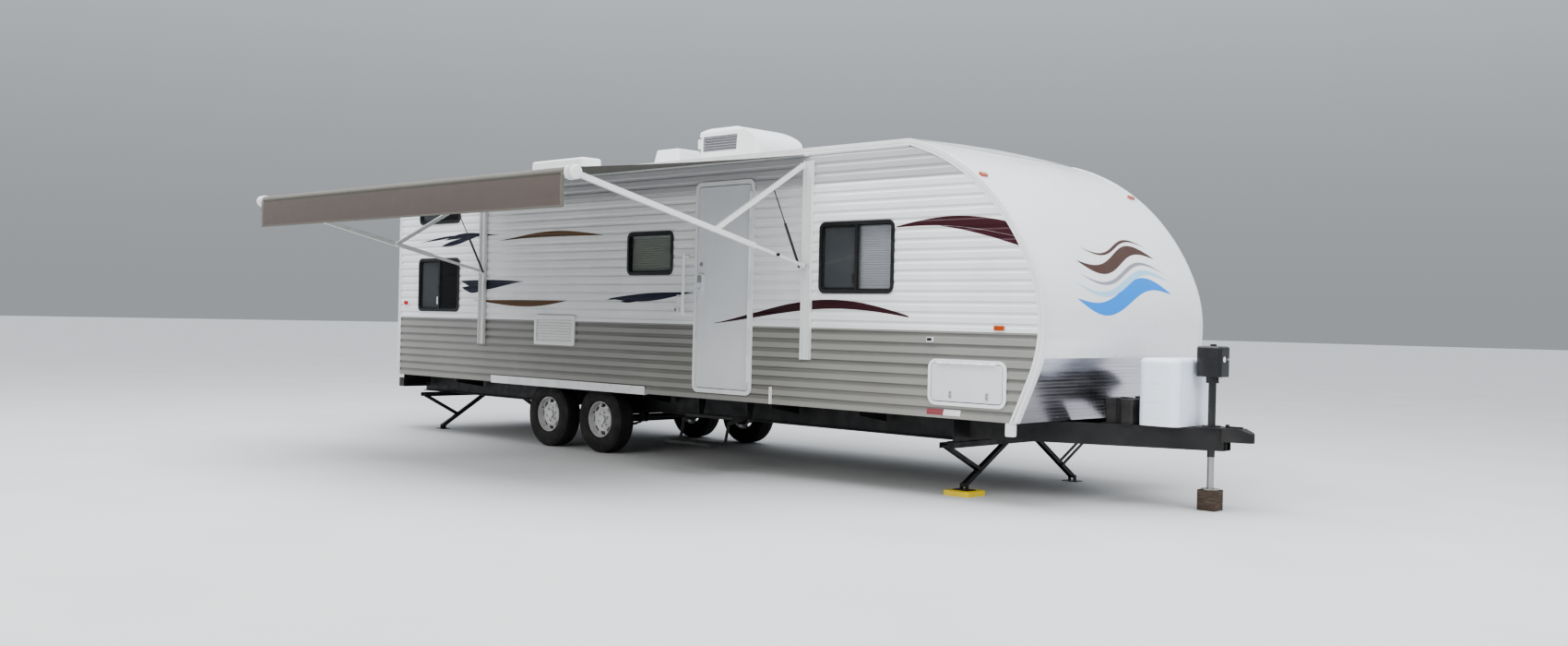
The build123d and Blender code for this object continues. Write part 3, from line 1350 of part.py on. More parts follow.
def air_conditioner():
    """Domed roof unit on a base pan, with a rear lobe under its lid and louvred sides."""
    z0 = CROWN_Z
    top = z0 + AC_H
    rear = AC_X0 + AC_REAR_SET
    lip = rear - AC_LID_OUT
    lobe = z0 + AC_LOBE_UP
    lid = z0 + AC_LID_UP
    side = make_face([
        Polyline((AC_X1, z0), (rear, z0), (rear, lobe)),
        ThreePointArc((rear, lobe), (AC_X0, lobe + AC_LOBE_H / 2), (rear, lobe + AC_LOBE_H)),
        Polyline((rear, lobe + AC_LOBE_H), (rear, lid), (lip, lid), (lip, z0 + AC_REAR_H)),
        ThreePointArc((lip, z0 + AC_REAR_H), (AC_GRILLE_X1 - AC_EDGE_R, top),
                      (AC_X1 - AC_SHOULDER_X, top - AC_SHOULDER_H)),
        ThreePointArc((AC_X1 - AC_SHOULDER_X, top - AC_SHOULDER_H), (AC_X1 - AC_BROW_X, top - AC_BROW_H),
                      (AC_X1, top - AC_FRONT_H)),
        Line((AC_X1, top - AC_FRONT_H), (AC_X1, z0)),
    ])
    section = Pos(0, z0 + AC_H / 2) * Trapezoid(2 * AC_HALF_W, AC_H, AC_SIDE_ANGLE)
    section = fillet(section.vertices().group_by(Axis.Y)[-1], AC_EDGE_R)
    plan = rounded(AC_X0, AC_X1, -AC_HALF_W, AC_HALF_W, AC_CORNER)
    shroud = slab_xz(side, -AC_HALF_W, AC_HALF_W) & slab_yz(section, AC_X0, AC_X1) & slab_xy(plan, z0, top)
    grille_z = z0 + AC_LOBE_UP - AC_LOBE_H / 2
    inner = AC_HALF_W - AC_GRILLE_T
    step = (lid - grille_z) / AC_BLADES
    for y0, y1, rise in ((-AC_HALF_W, -inner, 1), (inner, AC_HALF_W, -1)):
        shroud -= block(AC_GRILLE_X0, AC_GRILLE_X1, y0, y1, grille_z, lid)
    for i in range(AC_BLADES):
        z = grille_z + (i + BLADE_START) * step
        blade = blade_yz(-inner - AC_GRILLE_T / 2, -inner, z, step / 2)
        for piece in left_too(slab_yz(blade, AC_GRILLE_X0, AC_GRILLE_X1)):
            shroud += piece
    pan = rounded(lip, AC_X1 + BLADE_T, -AC_HALF_W - BLADE_T, AC_HALF_W + BLADE_T, AC_CORNER)
    return shroud + slab_xy(pan, z0, z0 + AC_PAN_H)


def fan_hood():
    """Rain hood over the roof fan, tapered, with a louvred mouth at its rear."""
    z0 = CROWN_Z
    plan = Pos(HOOD_X, 0) * RectangleRounded(2 * HOOD_HALF_L, 2 * HOOD_HALF_W, HOOD_CORNER)
    hood = extrude(Plane.XY.offset(z0) * plan, amount=HOOD_H, dir=(0, 0, 1), taper=HOOD_TAPER)
    hood = fillet(hood.edges().group_by(Axis.Z)[-1], HOOD_SOFT)
    rear = HOOD_X - HOOD_HALF_L
    mouth_z = z0 + HOOD_MOUTH_UP
    mouth_top = z0 + HOOD_H - HOOD_MOUTH_UP
    back = rear + HOOD_H * tan(radians(HOOD_TAPER)) + HOOD_MOUTH_T / 2
    hood -= block(rear, back, -HOOD_MOUTH_HALF, HOOD_MOUTH_HALF, mouth_z, mouth_top)
    step = (mouth_top - mouth_z) / HOOD_BLADES
    for i in range(1, HOOD_BLADES):
        z = mouth_z + i * step
        x = rear + (z - z0) * tan(radians(HOOD_TAPER)) + 2 * BLADE_T
        hood += block(x, back, -HOOD_MOUTH_HALF, HOOD_MOUTH_HALF, z, z + BLADE_T)
    return hood


def capped_vent():
    """The refrigerator's roof vent: a soft cap on a narrower neck."""
    y = -HALF_W + CAPPED_IN
    i = CAPPED_INSET
    z0 = roof_crown(abs(y) - CAPPED_HALF_W + i)
    neck_z = z0 + CAPPED_NECK
    neck = rounded(CAPPED_X0 + i, CAPPED_X1 - i, y - CAPPED_HALF_W + i, y + CAPPED_HALF_W - i, CAPPED_CORNER - i)
    cap = rounded(CAPPED_X0, CAPPED_X1, y - CAPPED_HALF_W, y + CAPPED_HALF_W, CAPPED_CORNER)
    cap = slab_xy(cap, neck_z, z0 + CAPPED_H)
    cap = fillet(cap.edges().group_by(Axis.Z)[-1], CAPPED_SOFT)
    return slab_xy(neck, z0, neck_z) + cap


CHANNEL_Y = -HALF_W - CHANNEL_T
CHANNEL_Z1 = SIDE_TOP_Z - CHANNEL_TOP_GAP
RAIL_Z = SIDE_TOP_Z - RAIL_DROP
ROLLER = (-HALF_W - ROLLER_OUT, SKIRT_Z + ROLLER_UP)
ARM_FOOT = (CHANNEL_Y - LINK_H / 2 - FOOT_GAP, SKIRT_Z + ARM_FOOT_UP)
ARM_JOINT = between(ROLLER, ARM_FOOT, JOINT_SHARE)
RAFTER_TOP = (CHANNEL_Y - RAFTER_H / 2 - FOOT_GAP, SIDE_TOP_Z - RAFTER_DROP)
STRUT_TOP = between(RAFTER_TOP, ARM_JOINT, STRUT_SHARE)
STRUT_FOOT = (CHANNEL_Y - STRUT_R - FOOT_GAP, SKIRT_Z + STRUT_FOOT_UP)
ROLLER_X0 = CHANNEL_XS[0] + ARM_W / 2
ROLLER_X1 = CHANNEL_XS[1] - ARM_W / 2


def awning_channel(x, inward):
    """A wall channel with the cheeks that carry arm, rafter and strut."""
    near_side = ARM_W / 2
    far_side = near_side + RAFTER_W
    half = CHANNEL_W / 2
    w = CHANNEL_WALL
    z0 = SKIRT_Z + CHANNEL_UP
    channel = block(x - half, x + half, CHANNEL_Y, -HALF_W, z0, CHANNEL_Z1)
    channel -= block(x - half + w, x + half - w, CHANNEL_Y, -HALF_W - w, z0, CHANNEL_Z1)
    cheeks = (
        (-LINK_W / 2 - BRACKET_T, -LINK_W / 2, ARM_FOOT, LINK_H),
        (far_side, far_side + BRACKET_T, RAFTER_TOP, RAFTER_H),
        (near_side, far_side, STRUT_FOOT, 2 * STRUT_R),
    )
    for near, far, (y, z), tall in cheeks:
        x0, x1 = inboard(x, inward, near, far)
        channel += block(x0, x1, y - tall / 2, -HALF_W, z - tall / 2, z + tall / 2)
    return channel


def awning_arm(x):
    """A main arm with the slimmer link that slides in it and meets the channel."""
    end = between(ROLLER, ARM_FOOT, ARM_SHARE)
    length = (Vector(*ARM_FOOT) - Vector(*ROLLER)).length
    lap = between(ROLLER, ARM_FOOT, ARM_SHARE - ARM_LAP / length)
    arm = bar_yz(ROLLER, end, ARM_H, x - ARM_W / 2, x + ARM_W / 2)
    return arm + bar_yz(lap, ARM_FOOT, LINK_H, x - LINK_W / 2, x + LINK_W / 2)


def awning_strut(x):
    """A gas strut: a cylinder below and its thin rod above."""
    low = (x, *STRUT_FOOT)
    high = (x, *STRUT_TOP)
    middle = (x, *between(STRUT_FOOT, STRUT_TOP, STRUT_BODY_SHARE))
    strut = rod(low, middle, STRUT_R) + rod(middle, high, STRUT_ROD_R)
    return strut + rod((x - STRUT_R, *STRUT_TOP), (x + STRUT_R, *STRUT_TOP), STRUT_R)


def awning_hardware():
    """Channels, arms, rafters, struts and knobs at both ends."""
    channels, arms, rafters, struts, knobs = [], [], [], [], []
    near_side = ARM_W / 2
    far_side = near_side + RAFTER_W
    for x, inward in zip(CHANNEL_XS, (1, -1)):
        channels.append(awning_channel(x, inward))
        arms.append(awning_arm(x))
        rafters.append(bar_yz(RAFTER_TOP, ARM_JOINT, RAFTER_H, *inboard(x, inward, near_side, far_side)))
        struts.append(awning_strut(x + inward * (far_side + STRUT_R)))
        x0, x1 = inboard(x, inward, -LINK_W / 2 - KNOB_T, -LINK_W / 2)
        spot = between(ROLLER, ARM_FOOT, KNOB_SHARE)
        knobs.append(rod((x0, *spot), (x1, *spot), KNOB_R))
    return channels, arms, rafters, struts + knobs


def awning_roller():
    """The roller tube with its end caps."""
    roller = rod((ROLLER_X0, *ROLLER), (ROLLER_X1, *ROLLER), ROLLER_R)
    for x, inward in ((ROLLER_X0, 1), (ROLLER_X1, -1)):
        roller += rod((x, *ROLLER), (x + inward * ROLLER_CAP_T, *ROLLER), ROLLER_CAP_R)
    return roller


AWNING_RAIL_Y = -HALF_W - TRIM_T


def awning_rail():
    """The rail on the roof edge that holds the canopy's hem."""
    z0 = RAIL_Z - RAIL_HALF_H
    return block(ROLLER_X0, ROLLER_X1, AWNING_RAIL_Y - RAIL_T, AWNING_RAIL_Y, z0, z0 + 2 * RAIL_HALF_H)


def awning_fabric():
    """The canopy from the rail over the roller, and the valance that hangs from the roller."""
    x0 = ROLLER_X0 + FABRIC_MARGIN
    x1 = ROLLER_X1 - FABRIC_MARGIN
    start = Vector(AWNING_RAIL_Y - RAIL_T - FABRIC_GAP, RAIL_Z)
    end = Vector(ROLLER[0], ROLLER[1] + ROLLER_R + FABRIC_GAP)
    along = (end - start).normalized()
    up = Vector(along.Y, -along.X) * FABRIC_T
    canopy = slab_yz(make_face(Polyline(start, end, end + up, start + up, close=True)), x0, x1)
    y = ROLLER[0] - ROLLER_R - FABRIC_GAP
    valance = block(x0, x1, y - FABRIC_T, y, ROLLER[1] - VALANCE_DROP, ROLLER[1])
    return [canopy, valance]


def wall_plates():
    """Outlets, inlet hatches and strips on the walls, and the plates under the front corners."""
    pieces = []
    for side, x, up, w, h in FITTINGS:
        z = SKIRT_Z + up
        plate = rounded(x - w / 2, x + w / 2, z - h / 2, z + h / 2, FITTING_CORNER)
        pieces.append(outward(slab_xz(plate, -HALF_W - FITTING_T, -HALF_W), side))
    corner = slab_xz(rounded(CORNER_PLATE_X, CORNER_PLATE_X + CORNER_PLATE_L, SKIRT_Z - CORNER_PLATE_H, SKIRT_Z,
                             CORNER_PLATE_R), -HALF_W + TRIM_T, -HALF_W + TRIM_T + CORNER_PLATE_T)
    return pieces + left_too(corner)


def marker_lights():
    """Amber lamps on the sides and the upper corners of the cap."""
    lamps = []
    for x, up, w, h in SIDE_LAMPS:
        z = SKIRT_Z + up
        lens = rounded(x - w / 2, x + w / 2, z - h / 2, z + h / 2, LAMP_CORNER)
        lamps += left_too(slab_xz(lens, -HALF_W - LAMP_T, -HALF_W))
    angle = radians(CAP_LAMP_ANGLE)
    spot = nose_point(angle, 0)
    face = Plane(origin=(spot.X, -HALF_W + CAP_LAMP_IN, spot.Y), x_dir=(0, 1, 0), z_dir=(cos(angle), 0, sin(angle)))
    lamps += left_too(extrude(face * RectangleRounded(CAP_LAMP_W, CAP_LAMP_H, LAMP_CORNER), amount=LAMP_T))
    return lamps


def tail_lights():
    """Stop and turn lamps low on the rear wall, a lens on a wider base."""
    y0 = -HALF_W + TAIL_IN
    z0 = SKIRT_Z + TAIL_UP
    base = rounded(y0, y0 + TAIL_W, z0, z0 + TAIL_H, TAIL_CORNER)
    b = TAIL_BASE_T
    lens = rounded(y0 + b, y0 + TAIL_W - b, z0 + b, z0 + TAIL_H - b, TAIL_CORNER - b / 2)
    return left_too(slab_yz(base, -b, 0) + slab_yz(lens, -TAIL_T, -b))


def grab_handle():
    """The hand rail beside the door."""
    out = HALF_W + HANDLE_OUT
    z0 = SKIRT_Z + HANDLE_UP
    z1 = z0 + HANDLE_L
    bar = rod((HANDLE_X, -out, z0), (HANDLE_X, -out, z1), HANDLE_R)
    for z in (z0 + HANDLE_END, z1 - HANDLE_END):
        bar += rod((HANDLE_X, -out, z), (HANDLE_X, -HALF_W, z), HANDLE_R)
    return bar


def fridge_vent():
    """Louvred panel over the refrigerator opening."""
    z0 = SKIRT_Z + VENT_UP
    z1 = z0 + VENT_H
    r = VENT_RIM
    plate = slab_xz(rounded(VENT_X0, VENT_X1, z0, z1, VENT_CORNER), -HALF_W - VENT_T, -HALF_W)
    plate -= block(VENT_X0 + r, VENT_X1 - r, -HALF_W - VENT_T, -HALF_W - VENT_BACK, z0 + r, z1 - r)
    step = (VENT_H - 2 * r) / VENT_BLADES
    for i in range(VENT_BLADES):
        blade = blade_yz(-HALF_W - VENT_T, -HALF_W - VENT_BACK, z0 + r + (i + BLADE_START) * step, step / 2)
        plate += slab_yz(blade, VENT_X0 + r, VENT_X1 - r)
    return plate


def all_nodes():
    """Every node by name, in the making frame."""
    door_frame, door_leaf = door_frame_and_leaf()
    hatch_frame, hatch_leaf = hatch_frame_and_leaf()
    brackets, upper_step, lower_step = entry_steps()
    channels, arms, rafters, struts = awning_hardware()
    nodes = {
        "frame_rails": frame_rails(),
        "cross_members": cross_members() + outriggers(),
        "rear_bumper": rear_bumper(),
        "drawbar": drawbar(),
        "coupler": coupler(),
        "tongue_jack": tongue_jack(),
        "jack_leg": jack_leg(),
        "jack_block": jack_block(),
        "drawbar_trays": drawbar_trays(),
        "gas_cover": gas_cover(),
        "battery_boxes": battery_boxes(),
        "floor": floor(),
        "wheel_wells": wheel_wells(),
        "holding_tanks": holding_tanks(),
        "right_wall": side_wall("right"),
        "left_wall": side_wall("left"),
        "rear_wall": rear_wall(),
        "siding": [siding("right"), siding("left"), rear_siding()],
        "front_cap": front_cap(),
        "rock_guard": rock_guard(),
        "roof": roof(),
        "edge_trims": edge_trims() + fender_skirts() + [nose_seam()],
        "window_frames": window_frames("right") + window_frames("left"),
        "window_glass": window_glass("right") + window_glass("left"),
        "door_frames": [door_frame] + left_too(hatch_frame),
        "entry_door": door_leaf + door_latch(),
        "storage_door_right": hatch_leaf,
        "storage_door_left": mirror(hatch_leaf, about=Plane.XZ),
        "step_brackets": brackets,
        "step_upper": upper_step,
        "step_lower": lower_step,
        "axles": [axle(x) for x in WHEEL_XS.values()],
        "leaf_springs": leaf_springs(),
        "spring_hangers": spring_hangers(),
        "stabilizer_beams": stabilizer_beams(),
        "stabilizer_legs": stabilizer_legs("front", (PAD_H, 0)) + stabilizer_legs("rear", (0, 0)),
        "level_pad": level_pad(),
        "air_conditioner": air_conditioner(),
        "roof_vents": [fan_hood(), capped_vent()],
        "wall_fittings": wall_plates() + [fridge_vent(), grab_handle()],
        "marker_lights": marker_lights(),
        "tail_lights": tail_lights(),
        "awning_channels": channels + [awning_rail()],
        "awning_arms": arms,
        "awning_rafters": rafters,
        "awning_struts": struts,
        "awning_roller": awning_roller(),
        "awning_fabric": awning_fabric(),
    }
    for where, x in WHEEL_XS.items():
        for side, sign in SIDES.items():
            place = Pos(x, sign * WHEEL_Y, TYRE_R)
            turn = Rot(0, 0, 0 if side == "right" else 180)
            nodes[f"{where}_{side}_tyre"] = place * turn * tyre()
            nodes[f"{where}_{side}_rim"] = place * turn * wheel_rim()
    return nodes


def as_list(shape):
    """The pieces of a node as a list."""
    return list(shape) if isinstance(shape, list) else [shape]


NODES = all_nodes()
WHOLE = Compound([solid for shape in NODES.values() for piece in as_list(shape) for solid in piece.solids()])
BOX = WHOLE.bounding_box()
SHIFT = Vector(-(BOX.min.X + BOX.max.X) / 2, -(BOX.min.Y + BOX.max.Y) / 2, 0)

os.makedirs("parts", exist_ok=True)
for name, shape in NODES.items():
    solids = [solid for piece in as_list(shape) for solid in piece.solids()]
    export_step(Pos(SHIFT) * Compound(solids), f"parts/{name}.step")
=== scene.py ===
from math import asin, ceil, cos, pi, radians, sin, sqrt, tan
import bmesh
import bpy
from mathutils import Matrix, Vector


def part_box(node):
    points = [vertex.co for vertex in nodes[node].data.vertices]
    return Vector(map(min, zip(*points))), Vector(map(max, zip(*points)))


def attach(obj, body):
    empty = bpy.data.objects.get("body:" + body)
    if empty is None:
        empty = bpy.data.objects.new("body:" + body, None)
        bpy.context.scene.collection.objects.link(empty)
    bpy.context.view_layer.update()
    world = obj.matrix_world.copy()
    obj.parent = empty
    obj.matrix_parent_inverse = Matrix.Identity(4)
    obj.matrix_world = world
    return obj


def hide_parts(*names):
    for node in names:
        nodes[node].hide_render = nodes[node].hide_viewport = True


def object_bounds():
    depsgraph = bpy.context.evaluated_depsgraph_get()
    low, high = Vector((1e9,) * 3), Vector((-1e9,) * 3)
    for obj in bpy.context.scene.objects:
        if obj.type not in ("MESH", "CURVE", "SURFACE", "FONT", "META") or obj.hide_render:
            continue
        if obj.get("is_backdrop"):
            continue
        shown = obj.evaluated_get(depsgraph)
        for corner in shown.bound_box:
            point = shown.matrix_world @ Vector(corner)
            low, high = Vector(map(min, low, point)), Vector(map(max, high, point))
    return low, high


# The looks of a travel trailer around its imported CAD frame, in metres
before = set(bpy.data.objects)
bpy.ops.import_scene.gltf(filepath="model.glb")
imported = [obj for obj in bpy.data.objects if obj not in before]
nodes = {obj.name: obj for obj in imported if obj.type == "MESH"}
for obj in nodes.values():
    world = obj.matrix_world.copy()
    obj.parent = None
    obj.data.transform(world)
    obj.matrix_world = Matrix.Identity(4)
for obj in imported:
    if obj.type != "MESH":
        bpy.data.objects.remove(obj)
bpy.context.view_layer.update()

# Places are given from a datum: x runs forward from the outer face of the rear wall, y to the left of the middle,
# z up from the ground
roof_low, roof_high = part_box("roof")
DATUM = Vector((roof_low.x, (roof_low.y + roof_high.y) / 2, 0))
HALF_W = (roof_high.y - roof_low.y) / 2
ROOT = "trailer"
MM = 0.001
SIDES = ((-1, "right"), (1, "left"))


def at(x, y, z):
    """The frame's place of a point given from the datum."""
    return DATUM + Vector((x, y, z))


# Camera, fitted to the photograph
CAMERA_SPOT = (14.272, -9.681, 1.359)
CAMERA_YAW = 2.3319
CAMERA_PITCH = -0.0022
CAMERA_ROLL = 0.022
CAMERA_LENS = 31.41
SENSOR = 36

# Colours, linear
WHITE = (0.80, 0.80, 0.80)
CAP_WHITE = (0.83, 0.84, 0.86)
PLASTIC_WHITE = (0.78, 0.78, 0.77)
GREY_SIDING = (0.250, 0.245, 0.225)
BAND_GREY = (0.47, 0.47, 0.48)
# Painted shade in the recesses of the air conditioner's grilles
GRILLE_SHADE_GREY = (0.36, 0.36, 0.38)
MAROON = (0.034, 0.004, 0.009)
NAVY = (0.006, 0.008, 0.020)
GOLD = (0.13, 0.065, 0.026)
BLUE = (0.02, 0.17, 0.50)
BROWN = (0.06, 0.03, 0.022)
BLACK = (0.012, 0.012, 0.013)
CHASSIS = (0.008, 0.008, 0.009)
AMBER = (0.38, 0.060, 0.006)
RED = (0.45, 0.012, 0.012)
CLOTH = (0.098, 0.078, 0.068)
# Darker copy of the awning cloth, painted shade on the canopy's underside and under the roller
CLOTH_SHADED = (0.048, 0.046, 0.032)
# Lighter cloth: real hems, and a painted highlight where the canopy wraps over the top of the roller
HEM_AND_HIGHLIGHT = (0.150, 0.140, 0.120)
YELLOW = (0.80, 0.60, 0.02)
DUST = (0.33, 0.30, 0.26)
RUST = (0.16, 0.055, 0.02)
SKY_LOW, SKY_HIGH = (0.36, 0.38, 0.40), (1.30, 1.36, 1.46)

# Heights of the paint on the siding, and of the ribs, whose lower slopes and hollows get painted shade
GREY_TOP = 1.302
BAND_BOTTOM = 2.50
RIB_START = 0.633
RIB_PITCH = 0.082

# Road dust is thickest at the lower of these heights and ends at the upper one
DUST_FULL, DUST_TOP = 0.25, 1.1

# Colours whose parts add up to more than this wear to a darker shade of themselves, the others to grey
PALE = 0.6

# Grilles of the air conditioner, whose recesses get painted shade: middle and half length along x, middle and half
# height, half depth across
GRILLE_X, GRILLE_LONG = 4.4325, 0.2415
GRILLE_Z, GRILLE_TALL = 3.096, 0.0755
GRILLE_Y = 0.3290

# Side lamps behind this x have red lenses
LAMP_SPLIT = 1.0

# Materials, by name
MATERIALS = {}


class Nodes:
    """Shader nodes of one tree, whose patterns read a place."""

    def __init__(self, tree, place):
        self.tree = tree
        self.place = self.node("ShaderNodeTexCoord").outputs[place]

    def put(self, socket, value):
        if isinstance(value, bpy.types.NodeSocket):
            self.tree.links.new(value, socket)
        elif socket.type == "RGBA":
            socket.default_value = (*value, 1)
        else:
            socket.default_value = value

    def node(self, kind, inputs=None, **settings):
        """A node with its settings, and its inputs by name or number."""
        made = self.tree.nodes.new(kind)
        for name, value in settings.items():
            setattr(made, name, value)
        for key, value in (inputs or {}).items():
            self.put(made.inputs[key], value)
        return made

    def math(self, operation, a, b=0.0):
        return self.node("ShaderNodeMath", {0: a, 1: b}, operation=operation).outputs[0]

    def mix(self, share, a, b, blend="MIX"):
        return self.node("ShaderNodeMix", {0: share, 6: a, 7: b}, data_type="RGBA", blend_type=blend).outputs[2]

    def ramp(self, value, low, high, a=0.0, b=1.0, **settings):
        """A value whose range from low to high becomes a to b."""
        limits = {"Value": value, "From Min": low, "From Max": high, "To Min": a, "To Max": b}
        return self.node("ShaderNodeMapRange", limits, **settings).outputs[0]

    def noise(self, scale, detail=3.0, stretch=(1, 1, 1), rough=0.5):
        place = self.node("ShaderNodeMapping", {"Vector": self.place, "Scale": stretch}).outputs[0]
        settings = {"Vector": place, "Scale": scale, "Detail": detail, "Roughness": rough}
        return self.node("ShaderNodeTexNoise", settings).outputs["Fac"]

    def cloud(self, scale, low, high, a=0.0, b=1.0, detail=3.0, stretch=(1, 1, 1), rough=0.5):
        """Noise whose range from low to high becomes a to b."""
        return self.ramp(self.noise(scale, detail, stretch, rough), low, high, a, b)

    def bands(self, scale, direction):
        settings = {"Vector": self.place, "Scale": scale}
        return self.node("ShaderNodeTexWave", settings, wave_type="BANDS", bands_direction=direction).outputs["Fac"]

    def axis(self, letter):
        return self.node("ShaderNodeSeparateXYZ", {0: self.place}).outputs[letter]

    def toned(self, colour, tone):
        """A colour times a grey value."""
        grey = self.node("ShaderNodeCombineXYZ", {0: tone, 1: tone, 2: tone}).outputs[0]
        return self.mix(1.0, colour, grey, "MULTIPLY")


class Look(Nodes):
    """A node material around one Principled shader, whose patterns read the object's coordinates."""

    def __init__(self, name, roughness=0.4, metallic=0.0, coat=0.0, specular=0.5):
        self.material = MATERIALS[name] = bpy.data.materials.new(name)
        self.material.use_nodes = True
        self.material.diffuse_color = (0.5, 0.5, 0.5, 1)
        super().__init__(self.material.node_tree, "Object")
        self.shader = self.tree.nodes["Principled BSDF"]
        self.set("Roughness", roughness)
        self.set("Metallic", metallic)
        self.set("Coat Weight", coat)
        self.set("Specular IOR Level", specular)

    def set(self, name, value):
        self.put(self.shader.inputs[name], value)

    def colour(self, value):
        self.set("Base Color", value)

    def rough(self, low, high, scale=6.0):
        self.set("Roughness", self.cloud(scale, 0.3, 0.7, low, high))

    def bump(self, height, distance, strength=1.0):
        """A bump on top of the ones before it."""
        before = self.shader.inputs["Normal"]
        inputs = {"Strength": strength, "Distance": distance, "Height": height}
        if before.is_linked:
            inputs["Normal"] = before.links[0].from_socket
        self.put(before, self.node("ShaderNodeBump", inputs).outputs[0])

    def edge(self, width, strong):
        """Share of wear along edges: where a rounded normal leaves the true one, broken by noise."""
        soft = self.node("ShaderNodeBevel", {"Radius": width}, samples=4).outputs[0]
        true = self.node("ShaderNodeNewGeometry").outputs["Normal"]
        dot = self.node("ShaderNodeVectorMath", {0: soft, 1: true}, operation="DOT_PRODUCT").outputs["Value"]
        return self.math("MULTIPLY", self.ramp(dot, 0.985, 0.86, 0.0, strong), self.cloud(30.0, 0.42, 0.60, detail=4.0))

    def weathered(self, colour, mottle=0.05, dirt=0.35):
        """A colour with soft mottling, faint runs and road dust that thickens towards the ground."""
        if isinstance(colour, tuple):
            cloud = self.cloud(1.3, 0.3, 0.7, detail=4.0)
            colour = self.mix(cloud, shade(colour, 1 - mottle), shade(colour, 1 + mottle))
        runs = self.cloud(9.0, 0.56, 0.78, 0.0, 0.22 * dirt, 4.0, (1, 1, 0.08))
        low = self.ramp(self.axis("Z"), DUST_TOP, DUST_FULL, 0.0, dirt)
        spots = self.cloud(5.0, 0.35, 0.7, 0.15, 1.0, 6.0)
        return self.mix(self.math("MULTIPLY", low, spots), self.mix(runs, colour, DUST), DUST)


def shade(colour, factor):
    """A colour made lighter or darker."""
    return tuple(min(1.0, c * factor) for c in colour)


def paint(name, colour, rough=0.3, dirt=0.35):
    look = Look(name, coat=0.25)
    worn = shade(colour, 0.72) if sum(colour) > PALE else (0.10, 0.10, 0.10)
    look.colour(look.mix(look.edge(0.0025, 0.5), look.weathered(colour, dirt=dirt), worn))
    look.rough(rough * 0.85, rough * 1.25)
    look.bump(look.noise(260.0, 2.0), 0.00012, 0.5)


def plastic(name, colour, rough=0.45, grain=0.0002, dirt=0.2):
    look = Look(name)
    worn = shade(colour, 0.8) if sum(colour) > PALE else (0.07, 0.07, 0.07)
    look.colour(look.mix(look.edge(0.003, 0.4), look.weathered(colour, 0.04, dirt), worn))
    look.rough(rough * 0.9, rough * 1.2, 9.0)
    look.bump(look.noise(420.0, 3.0), grain, 0.6)


def siding_paint():
    """Ribbed sheet, white above and grey below, with a grey band under the roof, and painted shade on the lower slopes
    of its ribs and, on the grey part, in their hollows.
    """
    look = Look("siding_paint", coat=0.15)
    height = look.axis("Z")
    lower = look.math("LESS_THAN", height, GREY_TOP)
    colour = look.mix(lower, WHITE, GREY_SIDING)
    colour = look.mix(look.math("GREATER_THAN", height, BAND_BOTTOM), colour, BAND_GREY)
    rib = look.math("FRACT", look.math("DIVIDE", look.math("SUBTRACT", height, RIB_START), RIB_PITCH))
    # Painted shade: darker on each rib's lower slope, and in its hollow on the grey lower part, broken up by streaky
    # noise
    under = look.math("SUBTRACT", look.ramp(rib, 0.74, 0.88), look.ramp(rib, 0.94, 1.0))
    hollow_shade = look.math("SUBTRACT", look.ramp(rib, 0.44, 0.62), look.ramp(rib, 0.96, 1.0))
    hollow_shade = look.math("MULTIPLY", look.math("MULTIPLY", hollow_shade, lower), 0.46)
    streak = look.cloud(2.0, 0.3, 0.7, 0.7, 1.0, 4.0, (0.25, 1, 6))
    rib_shade = look.math("MULTIPLY", streak, look.math("ADD", look.math("MULTIPLY", under, 0.17), hollow_shade))
    tone = look.math("SUBTRACT", look.cloud(1.1, 0.3, 0.7, 0.93, 1.05), rib_shade)
    tone = look.math("ADD", tone, look.math("MULTIPLY", lower, 0.10))
    look.colour(look.weathered(look.toned(colour, tone), dirt=0.25))
    look.rough(0.3, 0.42)
    look.bump(look.noise(3.0, 2.0, (0.5, 1, 3)), 0.0012, 0.4)
    look.bump(look.noise(180.0, 2.0), 0.0002, 0.4)


def gelcoat():
    look = Look("white_gelcoat", coat=0.6)
    look.colour(look.weathered(CAP_WHITE, 0.02, 0.12))
    look.set("Coat Roughness", 0.08)
    look.rough(0.2, 0.32, 3.0)
    look.bump(look.noise(2.2, 2.0), 0.002, 0.25)


def two_tone(name, first, second, pattern, share, rough, relief, specular=0.5, rough_scale=6.0):
    """A sheet or solid of two colours: pattern is a noise, share its ramp, relief (noise, depth, strength)."""
    look = Look(name, specular=specular)
    look.colour(look.mix(look.ramp(look.noise(*pattern), *share), first, second))
    look.rough(*rough, rough_scale)
    fine, depth, strength = relief
    look.bump(look.noise(*fine), depth, strength)


def bright_metal(name, colour, rough, brushed=(1, 1, 1), dirt=0.2):
    look = Look(name, metallic=1.0)
    look.colour(look.weathered(colour, 0.06, dirt))
    look.set("Roughness", look.cloud(40.0, 0.3, 0.7, rough * 0.7, rough * 1.5, 4.0, brushed))
    look.bump(look.noise(160.0, 3.0, brushed), 0.00012, 0.5)


def guard_plate():
    """Bright rolled plate with long streaks across it."""
    look = Look("guard_plate", metallic=1.0)
    streak = look.noise(26.0, 4.0, (1, 0.03, 1))
    look.colour(look.mix(look.ramp(streak, 0.3, 0.7), (0.52, 0.51, 0.56), (0.66, 0.65, 0.69)))
    look.set("Roughness", look.ramp(streak, 0.3, 0.7, 0.19, 0.27))
    look.bump(streak, 0.0002, 0.25)


